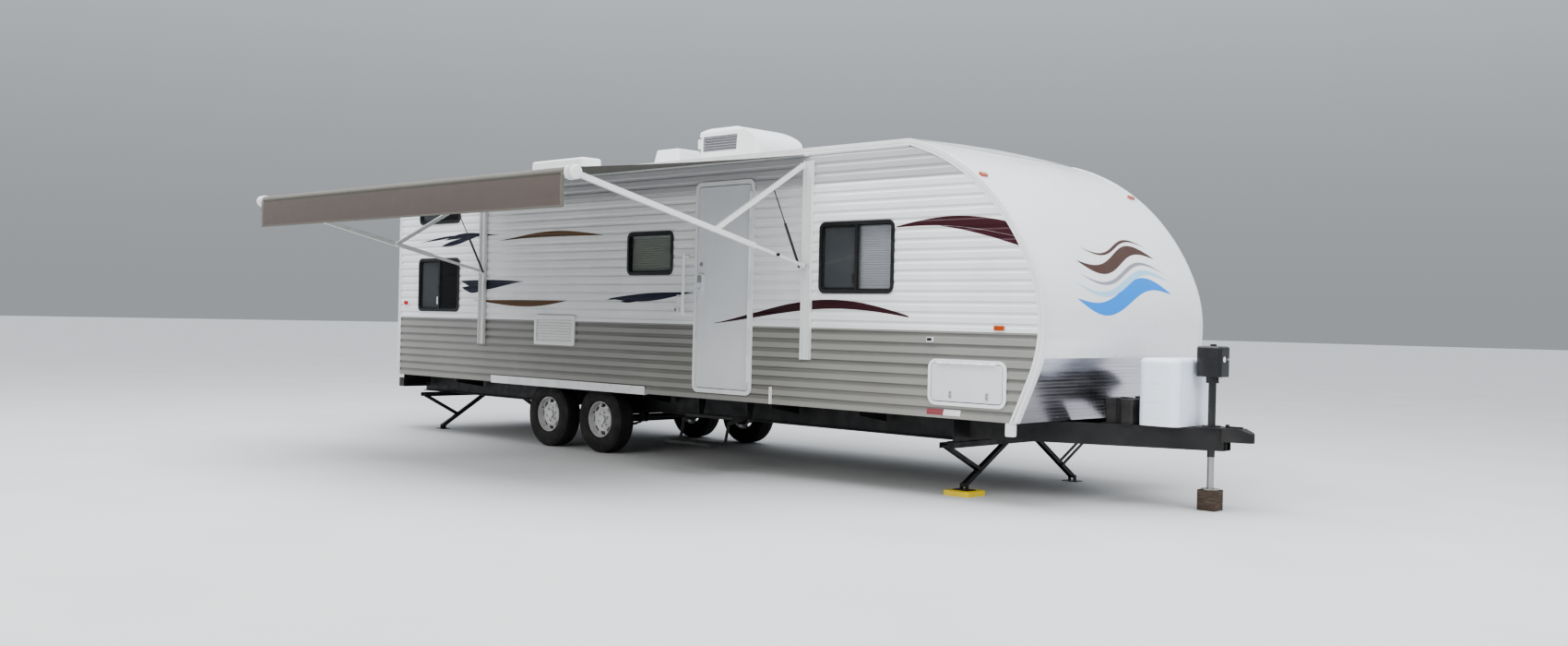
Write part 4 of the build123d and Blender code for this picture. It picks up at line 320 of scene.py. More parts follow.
def steel_paint(name, colour, rough=0.42, rust=0.12):
    """Chassis paint with thin spots of surface rust and dust."""
    look = Look(name)
    base = look.mix(look.cloud(24.0, 0.66, 0.74, 0.0, rust, 6.0, rough=0.7), colour, RUST)
    base = look.mix(look.edge(0.003, 0.7), base, (0.10, 0.075, 0.06))
    look.colour(look.mix(look.cloud(4.0, 0.4, 0.8, 0.0, 0.07, 5.0), base, DUST))
    look.rough(rough * 0.8, rough * 1.4, 14.0)
    look.bump(look.noise(200.0, 3.0), 0.0003, 0.6)


def rubber(name, grey, rough):
    """Rubber with a haze of dust."""
    two_tone(name, (grey, grey, grey), (0.11, 0.10, 0.09), (7.0, 5.0), (0.35, 0.7, 0.05, 0.3),
             (rough * 0.85, rough * 1.1), ((300.0, 3.0), 0.0003, 0.6), 0.3, 12.0)


def tinted_glass():
    look = Look("tinted_glass", coat=0.3)
    look.colour(look.toned((0.02, 0.023, 0.025), look.cloud(6.0, 0.3, 0.8, 0.85, 1.15, 4.0)))
    look.rough(0.04, 0.08, 5.0)
    look.set("Alpha", 0.28)


def lens(name, colour, rear=None):
    """Moulded lamp lens with fine vertical flutes, in another colour at the back of the body where it is given."""
    look = Look(name, roughness=0.12, coat=0.6)
    flutes = look.bands(60.0, "X")
    bright = shade(colour, 1.5)
    if rear:
        ahead = look.math("GREATER_THAN", look.axis("X"), at(LAMP_SPLIT, 0, 0).x)
        colour, bright = look.mix(ahead, rear, colour), look.mix(ahead, shade(rear, 1.5), bright)
    look.colour(look.mix(look.ramp(flutes, 0, 1, 0.0, 0.45), colour, bright))
    look.bump(flutes, 0.0008, 0.5)


def cloth(name, colour, streaks):
    """Coated woven cloth: a fine plain weave with faint bands across it."""
    look = Look(name, specular=0.25)
    look.set("Sheen Weight", 0.15)
    base = look.mix(look.cloud(3.5, 0.35, 0.65, 0.0, streaks, stretch=(0.06, 1, 1)), colour, shade(colour, 1.35))
    threads = look.math("MULTIPLY", look.bands(190.0, "X"), look.bands(190.0, "Y"))
    look.colour(look.mix(look.ramp(threads, 0, 1, 0.0, 0.25), base, shade(colour, 0.6)))
    look.rough(0.75, 0.9)
    look.bump(threads, 0.0005, 0.5)


def shroud():
    """White moulded shroud, with painted shade in grey inside the recesses of its side grilles."""
    look = Look("shroud_white", coat=0.1)
    inside = 1.0
    for letter, middle, half in (("X", at(GRILLE_X, 0, 0).x, GRILLE_LONG), ("Z", GRILLE_Z, GRILLE_TALL),
                                 ("Y", DATUM.y, GRILLE_Y)):
        off = look.math("ABSOLUTE", look.math("SUBTRACT", look.axis(letter), middle))
        inside = look.math("MULTIPLY", look.math("LESS_THAN", off, half), inside)
    # Painted shade: grey fills the recesses of the grilles
    look.colour(look.mix(inside, look.weathered(PLASTIC_WHITE, 0.03, 0.1), GRILLE_SHADE_GREY))
    look.rough(0.32, 0.45, 9.0)
    look.bump(look.noise(420.0, 3.0), 0.0002, 0.6)


def vinyl(name, colour, tip, from_x, to_x):
    """A printed stripe whose colour runs to a lighter tip along x."""
    look = Look(name, coat=0.05, specular=0.3)
    share = look.ramp(look.axis("X"), at(from_x, 0, 0).x, at(to_x, 0, 0).x)
    look.colour(look.mix(look.cloud(60.0, 0.3, 0.7, 0.0, 0.12, 2.0), look.mix(share, colour, tip), shade(colour, 1.6)))
    look.rough(0.42, 0.55)


siding_paint()
gelcoat()
guard_plate()
tinted_glass()
shroud()
two_tone("roof_membrane", (0.74, 0.74, 0.73), (0.42, 0.40, 0.36), (2.0, 6.0, (1, 1, 1), 0.65),
         (0.45, 0.75, 0.0, 0.35), (0.55, 0.75), ((90.0, 4.0), 0.0006, 0.7))
TIMBER_GRAIN, BOARD_GRAIN = (14.0, 6.0, (1, 1, 12), 0.6), (6.0, 5.0, (0.3, 1, 6))
two_tone("rough_timber", (0.050, 0.036, 0.028), (0.115, 0.088, 0.070), TIMBER_GRAIN, (0.35, 0.65), (0.75, 0.92),
         (TIMBER_GRAIN, 0.002, 0.8), 0.2)
two_tone("wall_board", (0.36, 0.30, 0.22), (0.46, 0.39, 0.30), BOARD_GRAIN, (0.3, 0.7), (0.5, 0.65),
         (BOARD_GRAIN, 0.0006, 0.4), 0.3)
two_tone("under_floor", (0.02, 0.02, 0.02), (0.05, 0.047, 0.043), (9.0, 5.0), (0.3, 0.7), (0.7, 0.9),
         ((240.0, 2.0), 0.0006, 0.8), 0.25)
paint("white_paint", WHITE)
paint("door_paint", (0.70, 0.71, 0.73), 0.35)
paint("frame_black", BLACK, dirt=0.1)
paint("jack_black", BLACK, 0.25, dirt=0.1)
paint("wheel_paint", (0.62, 0.62, 0.62), 0.28, dirt=0.5)
paint("awning_white", (0.76, 0.76, 0.75), 0.32, dirt=0.1)
paint("cast_white", (0.80, 0.80, 0.79), 0.35, dirt=0.1)
steel_paint("chassis_black", CHASSIS)
steel_paint("spring_steel", (0.03, 0.028, 0.026), 0.5, 0.5)
bright_metal("plated_steel", (0.42, 0.42, 0.41), 0.35, (1, 1, 0.1))
bright_metal("screw_steel", (0.55, 0.55, 0.55), 0.3, dirt=0.1)
rubber("tyre_rubber", 0.014, 0.75)
rubber("seal_rubber", 0.01, 0.6)
plastic("black_plastic", (0.015, 0.015, 0.015), 0.55)
plastic("white_plastic", PLASTIC_WHITE, 0.35)
plastic("tank_cover_plastic", (0.84, 0.88, 0.96), 0.3, dirt=0.06)
plastic("yellow_plastic", YELLOW, 0.5, dirt=0.3)
plastic("blind_white", (0.80, 0.82, 0.86), 0.5, dirt=0.0)
plastic("shade_warm", (0.66, 0.70, 0.61), 0.8, dirt=0.0)
plastic("screen_grey", (0.17, 0.18, 0.19), 0.8, dirt=0.0)
plastic("trim_bead", (0.72, 0.72, 0.71), 0.4, dirt=0.25)
plastic("latch_grey", (0.30, 0.30, 0.30), 0.4, dirt=0.1)
plastic("roof_sealant", (0.50, 0.49, 0.46), 0.5, grain=0.0006, dirt=0.1)
lens("amber_lens", AMBER, RED)
lens("red_lens", RED)
lens("clear_lens", (0.75, 0.75, 0.75))
cloth("awning_cloth", CLOTH, 0.5)
# A darker copy of the cloth paints shade on the awning
cloth("awning_cloth_shaded", CLOTH_SHADED, 0.3)
# A lighter copy of the cloth for the hems and for a painted highlight over the roller
cloth("awning_hem_and_highlight", HEM_AND_HIGHLIGHT, 0.2)
cloth("strap_webbing", (0.018, 0.018, 0.019), 0.3)
vinyl("maroon_stripe", MAROON, shade(MAROON, 1.4), 7.4, 8.6)
vinyl("maroon_stripe_low", shade(MAROON, 0.7), MAROON, 5.4, 7.5)
vinyl("navy_stripe", NAVY, shade(NAVY, 1.8), 0.6, 5.0)
vinyl("gold_stripe", shade(GOLD, 0.7), GOLD, 1.7, 3.7)
vinyl("blue_stripe", BLUE, shade(BLUE, 1.7), 8.4, 8.9)
vinyl("pale_blue_stripe", (0.25, 0.52, 0.78), (0.45, 0.68, 0.86), 8.4, 8.9)
vinyl("brown_stripe", BROWN, shade(BROWN, 1.5), 8.4, 8.9)
vinyl("grey_stripe", (0.20, 0.20, 0.23), (0.34, 0.34, 0.38), 8.4, 8.9)
vinyl("red_tape", (0.27, 0.055, 0.065), (0.22, 0.09, 0.10), 7.7, 8.1)
vinyl("white_tape", (0.66, 0.62, 0.62), (0.74, 0.73, 0.73), 7.7, 8.1)

# Looks of the CAD nodes; tyres and rims go by their endings, and the rest is chassis paint
NODE_LOOKS = {
    "siding_paint": "siding", "white_gelcoat": "front_cap", "roof_membrane": "roof", "guard_plate": "rock_guard",
    "white_paint": "edge_trims door_frames", "wall_board": "right_wall left_wall rear_wall", "under_floor": "floor",
    "black_plastic": "wheel_wells holding_tanks battery_boxes", "frame_black": "window_frames",
    "tinted_glass": "window_glass", "door_paint": "entry_door storage_door_right storage_door_left",
    "tank_cover_plastic": "gas_cover", "jack_black": "tongue_jack awning_struts", "plated_steel": "jack_leg",
    "rough_timber": "jack_block", "yellow_plastic": "level_pad", "spring_steel": "leaf_springs",
    "shroud_white": "air_conditioner", "white_plastic": "roof_vents wall_fittings", "amber_lens": "marker_lights",
    "red_lens": "tail_lights", "awning_white": "awning_channels awning_arms awning_rafters awning_roller",
    "awning_cloth": "awning_fabric",
}
for name, node in nodes.items():
    usual = {"tyre": "tyre_rubber", "rim": "wheel_paint"}.get(name.split("_")[-1], "chassis_black")
    look = next((look for look, names in NODE_LOOKS.items() if name in names.split()), usual)
    node.data.materials.clear()
    node.data.materials.append(MATERIALS[look])


# Builders for mesh pieces
def added(name, data):
    """A new object in the scene."""
    made = bpy.data.objects.new(name, data)
    bpy.context.scene.collection.objects.link(made)
    return made


def piece(name, points, faces, look, body=ROOT, smooth=False):
    """A mesh piece that rides on a body, its points given in the frame."""
    mesh = bpy.data.meshes.new(name)
    mesh.from_pydata([tuple(p) for p in points], [], faces)
    mesh.validate()
    made = added(name, mesh)
    mesh.materials.append(MATERIALS[look])
    mesh.polygons.foreach_set("use_smooth", [smooth] * len(mesh.polygons))
    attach(made, body)
    return made


def quads(rows, columns, start=0, ring=True, closed=False):
    """Faces between rows of points: each row may be a ring, and the last row may join the first."""
    spans = [(start + r * columns, start + (r + 1) % rows * columns) for r in range(rows if closed else rows - 1)]
    return [(a + i, a + (i + 1) % columns, b + (i + 1) % columns, b + i)
            for a, b in spans for i in range(columns if ring else columns - 1)]


def capped(rows, columns, start=0):
    """Faces between rings of points, with both ends closed."""
    last = start + (rows - 1) * columns
    return quads(rows, columns, start) + [list(range(start, start + columns))[::-1], list(range(last, last + columns))]


def tidy(made, bevel=0.0, steps=2):
    """Outward faces and soft edges."""
    work = bmesh.new()
    work.from_mesh(made.data)
    bmesh.ops.recalc_face_normals(work, faces=work.faces)
    if bevel:
        edges = [e for e in work.edges if len(e.link_faces) == 2 and e.calc_face_angle(0) > 0.5]
        bmesh.ops.bevel(work, geom=edges, offset=bevel, segments=steps, profile=0.5, affect="EDGES", clamp_overlap=True)
    work.to_mesh(made.data)
    work.free()
    return made


def soften(made, degrees):
    """Smooth shading, sharp at edges past an angle."""
    made.data.shade_smooth()
    made.data.set_sharp_from_angle(angle=radians(degrees))


def prism(name, outline, spread, look, body=ROOT, bevel=0.0, steps=2):
    """A prism: outline(x) gives the closed ring of points at either end of the spread."""
    rings = [[at(*p) for p in outline(x)] for x in spread]
    faces = capped(2, len(rings[0]))
    return tidy(piece(name, rings[0] + rings[1], faces, look, body), bevel, steps)


def slab(name, low, high, look, bevel=0.002, body=ROOT):
    """A slab with soft edges between two corners."""
    (x0, y0, z0), (x1, y1, z1) = low, high
    ring = ((y0, z0), (y1, z0), (y1, z1), (y0, z1))
    return prism(name, lambda x: [(x, y, z) for y, z in ring], (x0, x1), look, body, bevel)


def wall_slab(name, side, xs, outs, zs, look, bevel, body=ROOT):
    """A slab at a side wall, given by its ends, its distances out from the wall's face and its heights."""
    ys = sorted(side * (HALF_W + out) for out in outs)
    return slab(name, (xs[0], ys[0], zs[0]), (xs[1], ys[1], zs[1]), look, bevel, body)


def turned(name, profile, spots, look, body=ROOT, steps=24, smooth=True):
    """One piece of turned forms, each at (place, axis): profile rows are (radius, distance along it) in mm."""
    points, faces = [], []
    for place, axis in spots:
        faces += capped(len(profile), steps, len(points))
        out = Vector(axis).normalized()
        first = out.orthogonal().normalized()
        second = out.cross(first)
        for radius, along in [(r * MM, d * MM) for r, d in profile]:
            for angle in [2 * pi * i / steps for i in range(steps)]:
                spoke = (first * cos(angle) + second * sin(angle)) * radius
                points.append(at(*(Vector(place) + out * along + spoke)))
    made = tidy(piece(name, points, faces, look, body))
    if smooth:
        soften(made, 35)
    return made


def wall_knobs(name, profile, side, spots, look, body, steps):
    """Turned forms on a side wall, each at (x, distance out from the wall's face, z)."""
    places = [((x, side * (HALF_W + out), z), (0, side, 0)) for x, out, z in spots]
    return turned(name, profile, places, look, body, steps)


def tube(name, path, radius, look, body=ROOT, closed=False, steps=10, flat=1.0, across=(0, 1, 0)):
    """A round bead along a path, or one flattened along one axis."""
    points = []
    count = len(path)
    across = Vector(across)
    for i, spot in enumerate(path):
        ahead = Vector(path[(i + 1) % count] if closed or i < count - 1 else spot)
        behind = Vector(path[i - 1] if closed or i else spot)
        other = (ahead - behind).normalized().cross(across).normalized()
        for angle in [2 * pi * k / steps for k in range(steps)]:
            points.append(at(*(Vector(spot) + across * cos(angle) * radius * flat + other * sin(angle) * radius)))
    faces = quads(count, steps, closed=True) if closed else capped(count, steps)
    return tidy(piece(name, points, faces, look, body, smooth=True))


def loop_xz(x0, x1, z0, z1, corner, y, steps=6):
    """A rounded rectangle in x and z as a path."""
    corners = ((x1 - corner, z1 - corner, 0), (x0 + corner, z1 - corner, 90), (x0 + corner, z0 + corner, 180),
               (x1 - corner, z0 + corner, 270))
    turns = [(cx, cz, radians(start + 90 * k / steps)) for cx, cz, start in corners for k in range(steps + 1)]
    return [(cx + corner * cos(angle), y, cz + corner * sin(angle)) for cx, cz, angle in turns]


# Stripes on the siding. Its breaks are read at the rear end of the sheet, on the right
SHEET_END = (0.0101, 0.0115)
SHEET_DEPTH = 0.02
STRIPE_OUT = 0.0006
STRIPE_STEP = 0.02
SLIVER = 1e-5


def siding_section():
    """Breaks of the ribbed sheet: (height, distance from the centre plane)."""
    found = {}
    for vertex in nodes["siding"].data.vertices:
        p = vertex.co - DATUM
        if SHEET_END[0] < p.x < SHEET_END[1] and p.y < SHEET_DEPTH - HALF_W:
            z = round(p.z, 4)
            found[z] = max(found.get(z, 0), -p.y)
    return sorted(found.items())


SECTION = siding_section()


def siding_depth(z):
    """Distance of the sheet's face from the centre plane at a height."""
    for (z0, y0), (z1, y1) in zip(SECTION, SECTION[1:]):
        if z0 <= z <= z1:
            return y0 + (y1 - y0) * (z - z0) / max(z1 - z0, 1e-6)
    return HALF_W


def stripe(name, x0, x1, bottom, top, look, side=-1, face=None, body=ROOT, slot="siding_paint", lift=0.0):
    """A stripe between two curves z(x), laid on the ribs, or on a flat face at a given distance."""
    count = max(4, ceil((x1 - x0) / STRIPE_STEP))
    columns = [(x, bottom(x), top(x)) for x in [x0 + (x1 - x0) * i / count for i in range(count + 1)]]
    lowest, highest = min(c[1] for c in columns), max(c[2] for c in columns)
    breaks = [z for z, _ in SECTION if lowest < z < highest] if face is None else []
    levels = [lowest, *breaks, highest]
    points, faces = [], []
    for low, high in zip(levels, levels[1:]):
        for (xa, ba, ta), (xb, bb, tb) in zip(columns, columns[1:]):
            corners = [(xa, min(max(low, ba), ta)), (xb, min(max(low, bb), tb)),
                       (xb, min(max(high, bb), tb)), (xa, min(max(high, ba), ta))]
            if corners[3][1] - corners[0][1] < SLIVER and corners[2][1] - corners[1][1] < SLIVER:
                continue
            quad = list(range(len(points), len(points) + 4))
            faces.append(quad if side < 0 else quad[::-1])
            for x, z in corners:
                out = (siding_depth(z) if face is None else face) + STRIPE_OUT + lift
                points.append(at(x, side * out, z))
    made = piece(name, points, faces, look, body)
    work = bmesh.new()
    work.from_mesh(made.data)
    bmesh.ops.remove_doubles(work, verts=work.verts, dist=SLIVER)
    bmesh.ops.dissolve_degenerate(work, edges=work.edges, dist=1e-6)
    work.to_mesh(made.data)
    work.free()
    return made


def arch(x0, x1, z0, z1, rise, peak=0.5):
    """A smooth curve from (x0, z0) to (x1, z1) that rises in between, most at a share of its length."""
    def curve(x):
        t = min(1, max(0, (x - x0) / (x1 - x0)))
        bend = t ** (0.5 / (1 - peak)) if peak > 0.5 else 1 - (1 - t) ** (0.5 / peak)
        return z0 + (z1 - z0) * t + rise * sin(pi * bend)
    return curve


# Each row: name, x0, x1, z at x0, z at x1, rise of the lower curve, of the upper curve, peak of each
STRIPES = (
    ("gold_high", 1.970, 3.755, 2.134, 2.150, 0.018, 0.070, 0.5, 0.55),
    ("gold_low", 1.500, 3.200, 1.500, 1.506, -0.064, 0.004, 0.60, 0.5),
    ("navy_high_a", 0.930, 2.030, 2.165, 2.200, 0.006, 0.058, 0.5, 0.36),
    ("navy_high_b", 0.400, 1.300, 2.146, 2.215, -0.006, 0.018, 0.5, 0.60),
    ("navy_high_c", 0.860, 1.560, 2.098, 2.190, -0.028, 0.030, 0.40, 0.50),
    ("navy_mid_a", 1.270, 2.470, 1.712, 1.700, -0.092, 0.014, 0.32, 0.50),
    ("navy_mid_b", 1.300, 1.930, 1.640, 1.672, -0.072, 0.012, 0.32, 0.50),
    ("navy_low_a", 3.840, 5.060, 1.530, 1.594, -0.052, 0.022, 0.45, 0.46),
    ("navy_low_b", 3.790, 4.420, 1.516, 1.556, -0.006, 0.014, 0.50, 0.50),
    ("navy_low_c", 4.010, 4.330, 1.502, 1.520, -0.018, 0.008, 0.45, 0.50),
)
# On the left the low ones stand clear of a window, and those that overlap lie at different depths
LOW_SHIFT = -0.62
LAYERS = {"b": 0.0004, "c": 0.0008}
for title, x0, x1, z0, z1, low, high, low_peak, high_peak in STRIPES:
    for side, tag in SIDES:
        move = LOW_SHIFT if side > 0 and title.startswith("navy_low") else 0
        ends = (x0 + move, x1 + move)
        stripe(f"stripe_{title}_{tag}", *ends, arch(*ends, z0, z1, low, low_peak), arch(*ends, z0, z1, high, high_peak),
               f"{title[:4]}_stripe", side, lift=LAYERS.get(title[-1], 0))

# Nose outline: two arcs, (centre x, centre z, radius), that meet at JOIN, and a straight lean down to the foot
LOW_ARC = (7.80651, 1.36042, 1.004)
HIGH_ARC = (7.07091, 1.07510, 1.793)
JOIN = radians(21.2)
LEAN = radians(-23.8)
FOOT_Z = 0.633
SIDE_TOP = 2.807


def nose_x(z):
    """Foremost x of the nose at a height."""
    cx, cz, radius = LOW_ARC
    foot = cz + radius * sin(LEAN)
    if z < foot:
        return cx + radius * cos(LEAN) + (foot - z) * tan(LEAN)
    if z > cz + radius * sin(JOIN):
        cx, cz, radius = HIGH_ARC
    return cx + sqrt(max(0.0, radius ** 2 - (z - cz) ** 2))


def under_nose(curve):
    """A curve kept just below the nose's upper edge."""
    cx, cz, radius = HIGH_ARC
    return lambda x: min(curve(x), cz + sqrt(max(0.0, radius ** 2 - (x - cx) ** 2)) - NOSE_MARGIN)


# The swooshes by the nose, and the arch that crosses the door and its frame
NOSE_MARGIN = 0.012
SWOOSH_X0, SWOOSH_END, SWOOSH_GAP = 7.42, 8.63, 0.0015
SWOOSH_TOP = under_nose(arch(SWOOSH_X0, 8.70, 2.120, 2.075, 0.085, 0.48))
SWOOSH_SPLIT = under_nose(arch(SWOOSH_X0, 8.70, 2.112, 1.985, 0.050, 0.45))
SWOOSH_LOW = under_nose(arch(7.85, 8.72, 2.112, 1.905, 0.018, 0.4))
for side, tag in SIDES:
    stripe(f"stripe_swoosh_upper_{tag}", SWOOSH_X0, SWOOSH_END, SWOOSH_SPLIT, SWOOSH_TOP, "maroon_stripe", side)
    stripe(f"stripe_swoosh_lower_{tag}", 7.86, SWOOSH_END, SWOOSH_LOW, lambda x: SWOOSH_SPLIT(x) - SWOOSH_GAP,
           "maroon_stripe", side)
ARCH_X0, ARCH_X1, ARCH_LEFT_X0 = 5.354, 7.561, 5.70
ARCH_LOW = arch(ARCH_X0, ARCH_X1, 1.317, 1.400, 0.092, 0.62)
ARCH_HIGH = arch(ARCH_X0, ARCH_X1, 1.321, 1.412, 0.160, 0.60)
LEAF_END, RIM_END, FRAME_END = 5.768, 5.788, 5.834
LEAF_OUT, RIM_OUT = 0.005, 0.008
for tag, x0, x1, out in (("", ARCH_X0, LEAF_END, LEAF_OUT), ("_edge", LEAF_END, RIM_END, RIM_OUT)):
    stripe(f"stripe_arch_door{tag}", x0, x1, ARCH_LOW, ARCH_HIGH, "maroon_stripe_low", face=HALF_W + out,
           body="entry_door", slot="door_white")
stripe("stripe_arch_right", FRAME_END, ARCH_X1, ARCH_LOW, ARCH_HIGH, "maroon_stripe_low")
stripe("stripe_arch_left", ARCH_LEFT_X0, ARCH_X1, arch(ARCH_LEFT_X0, ARCH_X1, 1.317, 1.400, 0.082, 0.62),
       arch(ARCH_LEFT_X0, ARCH_X1, 1.321, 1.412, 0.145, 0.60), "maroon_stripe_low", 1)
TAPE_Z = (0.655, 0.700)
for tag, x0, x1 in (("red", 7.76, 7.92), ("white", 7.92, 8.08)):
    stripe(f"tape_{tag}", x0, x1, lambda x: TAPE_Z[0], lambda x: TAPE_Z[1], f"{tag}_tape")

# Ribbons on the cap
PRINT_COLUMNS, PRINT_ROWS = 60, 8
PRINT_OUT = 0.0008


def cap_print(name, y0, y1, low, high, look):
    """A printed shape on the curved cap between two curves z(y)."""
    points = []
    for y in [y0 + (y1 - y0) * i / PRINT_COLUMNS for i in range(PRINT_COLUMNS + 1)]:
        for z in [low(y) + (high(y) - low(y)) * j / PRINT_ROWS for j in range(PRINT_ROWS + 1)]:
            points.append(at(nose_x(z) + PRINT_OUT, y, z))
    faces = [face[::-1] for face in quads(PRINT_COLUMNS + 1, PRINT_ROWS + 1, ring=False)]
    return piece(name, points, faces, look)


def ribbon(y0, y1, z0, z1, swing, half, sign):
    """Lower (-1) or upper (1) curve of a pointed ribbon that swings down and up once."""
    def height(y):
        t = min(1, max(0, (y - y0) / (y1 - y0)))
        return z0 + (z1 - z0) * t - swing * sin(2 * pi * t) + sign * half * sin(pi * t) ** 0.9
    return height


# Each row: name, look, then y0, y1, z at y0, z at y1, swing, half width
CAP_PRINTS = (
    ("blue", "blue_stripe", (-0.74, 0.74, 1.57, 1.64, 0.088, 0.070)),
    ("pale", "pale_blue_stripe", (-0.70, 0.78, 1.685, 1.735, 0.086, 0.026)),
    ("grey", "grey_stripe", (-0.62, 0.72, 1.765, 1.81, 0.080, 0.016)),
    ("brown", "brown_stripe", (-0.60, 0.66, 1.865, 1.93, 0.074, 0.050)),
    ("thin", "brown_stripe", (-0.46, 0.60, 1.975, 2.02, 0.056, 0.012)),
)
for title, look, shape in CAP_PRINTS:
    cap_print(f"cap_ribbon_{title}", *shape[:2], ribbon(*shape, -1), ribbon(*shape, 1), look)

# Vinyl insert in the groove of the edge mouldings
BEAD_IN = 0.025
BEAD_FOOT_Z = FOOT_Z + 0.01


def inset_arc(arc, start, end, count):
    """Points (x, z) on an arc of the nose, inside the edge by the bead's distance."""
    cx, cz, radius = arc
    angles = [start + (end - start) * i / count for i in range(count + 1)]
    return [(cx + (radius - BEAD_IN) * cos(a), cz + (radius - BEAD_IN) * sin(a)) for a in angles]


def trim_path():
    """The middle of the moulding, up the rear corner, along the roof and down the nose."""
    top = SIDE_TOP - BEAD_IN
    high = inset_arc(HIGH_ARC, asin((top - HIGH_ARC[1]) / (HIGH_ARC[2] - BEAD_IN)), JOIN, 24)
    path = [(BEAD_IN, BEAD_FOOT_Z), (BEAD_IN, top)]
    path += [(BEAD_IN + (high[0][0] - BEAD_IN) * i / 40, top) for i in range(1, 40)]
    path += high + inset_arc(LOW_ARC, JOIN, LEAN, 16)[1:]
    last_x, last_z = path[-1]
    return path + [(last_x + (last_z - BEAD_FOOT_Z) * tan(LEAN), BEAD_FOOT_Z)]


for side, tag in SIDES:
    tube(f"trim_insert_{tag}", [(x, side * (HALF_W + 0.0030), z) for x, z in trim_path()], 0.0062, "trim_bead",
         flat=0.35)

# Chequered plate on the lower nose: lozenges by (half length, half width, rise), from the foot up to an angle
PLATE_PITCH = 0.030
LOZENGE = (0.0105, 0.0028, 0.0011)
PLATE_TOP = radians(-13.2)
PLATE_START, PLATE_MARGIN, PLATE_SIDES = 0.02, 0.03, 0.13


def chequers():
    """Raised lozenges in two directions by turns, laid on the curve of the lower nose."""
    points, faces = [], []
    long_half, wide_half, rise = LOZENGE
    cx, cz, radius = LOW_ARC
    lean_length = (cz + radius * sin(LEAN) - FOOT_Z) / cos(LEAN)
    total = lean_length + radius * (PLATE_TOP - LEAN)

    def surface(s, y, out):
        """The frame's place at a distance up the plate, across it and out of it."""
        if s < lean_length:
            z = FOOT_Z + s * cos(LEAN)
            x, angle = nose_x(z), LEAN
        else:
            angle = LEAN + (s - lean_length) / radius
            x, z = cx + radius * cos(angle), cz + radius * sin(angle)
        return at(x + out * cos(angle), y, z + out * sin(angle))

    columns = int((2 * HALF_W - PLATE_SIDES) / PLATE_PITCH)
    for i in range(int((total - PLATE_MARGIN) / PLATE_PITCH)):
        for j in range(columns):
            s = PLATE_START + (i + 0.5) * PLATE_PITCH
            y = (j + 0.5 - columns / 2) * PLATE_PITCH
            tilt = radians(45) if (i + j) % 2 else radians(-45)
            start = len(points)
            for size, out in ((1.0, 0.0002), (0.62, rise)):
                for turn in [2 * pi * a / 8 for a in range(8)]:
                    u, v = cos(turn) * long_half * size, sin(turn) * wide_half * size
                    points.append(surface(s + u * sin(tilt) + v * cos(tilt), y + u * cos(tilt) - v * sin(tilt), out))
            faces += quads(2, 8, start) + [list(range(start + 8, start + 16))]
    made = tidy(piece("guard_chequers", points, faces, "guard_plate"))
    made.data.shade_smooth()
    return made


chequers()
SCREW = ((3.8, 0), (3.8, 1.2), (2.6, 2.6), (0.8, 3))
SCREW_ZS, SCREW_Y, SCREW_SPACES = (0.665, 1.105), 1.13, 15
turned("guard_screws", SCREW, [((nose_x(z) - 0.0005, SCREW_Y * (2 * i / SCREW_SPACES - 1), z), (1, 0, 0))
                               for z in SCREW_ZS for i in range(SCREW_SPACES + 1)],
       "screw_steel", steps=12)

# Windows by their openings (x0, x1, z0, z1): seals, sliders, shades, screens and latches
WINDOWS = {
    "right": ((0.420, 1.250, 1.369, 1.969), (0.420, 1.250, 2.350, 2.670), (4.117, 4.777, 1.753, 2.165),
              (6.600, 7.405, 1.587, 2.180)),
    "left": ((0.420, 1.250, 1.369, 1.969), (3.150, 4.050, 1.753, 2.165), (4.550, 5.950, 1.420, 2.080),
             (6.600, 7.405, 1.587, 2.180)),
}
SHADED = {"right_2": "shade_warm", "right_3": "blind_white", "left_1": "blind_white", "left_2": "blind_white",
          "left_3": "blind_white"}
FIXED = "right_2"
FRAME_W = 0.032
DIVIDER_HALF = 0.015
PLEAT = 0.019
SHADE_IN = 0.037
SCREEN_OUTS = {-1: (-0.0265, -0.0277), 1: (-0.0340, -0.0328)}


def pleated(name, x0, x1, z0, z1, side, look):
    """A pleated shade: a thin folded sheet with rails at its head and foot."""
    count = max(4, round((z1 - z0) / PLEAT)) * 2
    front = [(SHADE_IN + (0.004 if i % 2 else 0.0), z0 + (z1 - z0) * i / count) for i in range(count + 1)]
    ring = front + [(d + 0.0012, z) for d, z in reversed(front)]
    prism(name, lambda x: [(x, side * (HALF_W - d), z) for d, z in ring], (x0, x1), look)
    for tag, z in (("head", z1 - 0.009), ("foot", z0 + 0.009)):
        wall_slab(f"{name}_{tag}", side, (x0, x1), (0.002 - SHADE_IN, -0.010 - SHADE_IN), (z - 0.008, z + 0.008),
                  "blind_white", 0.002)


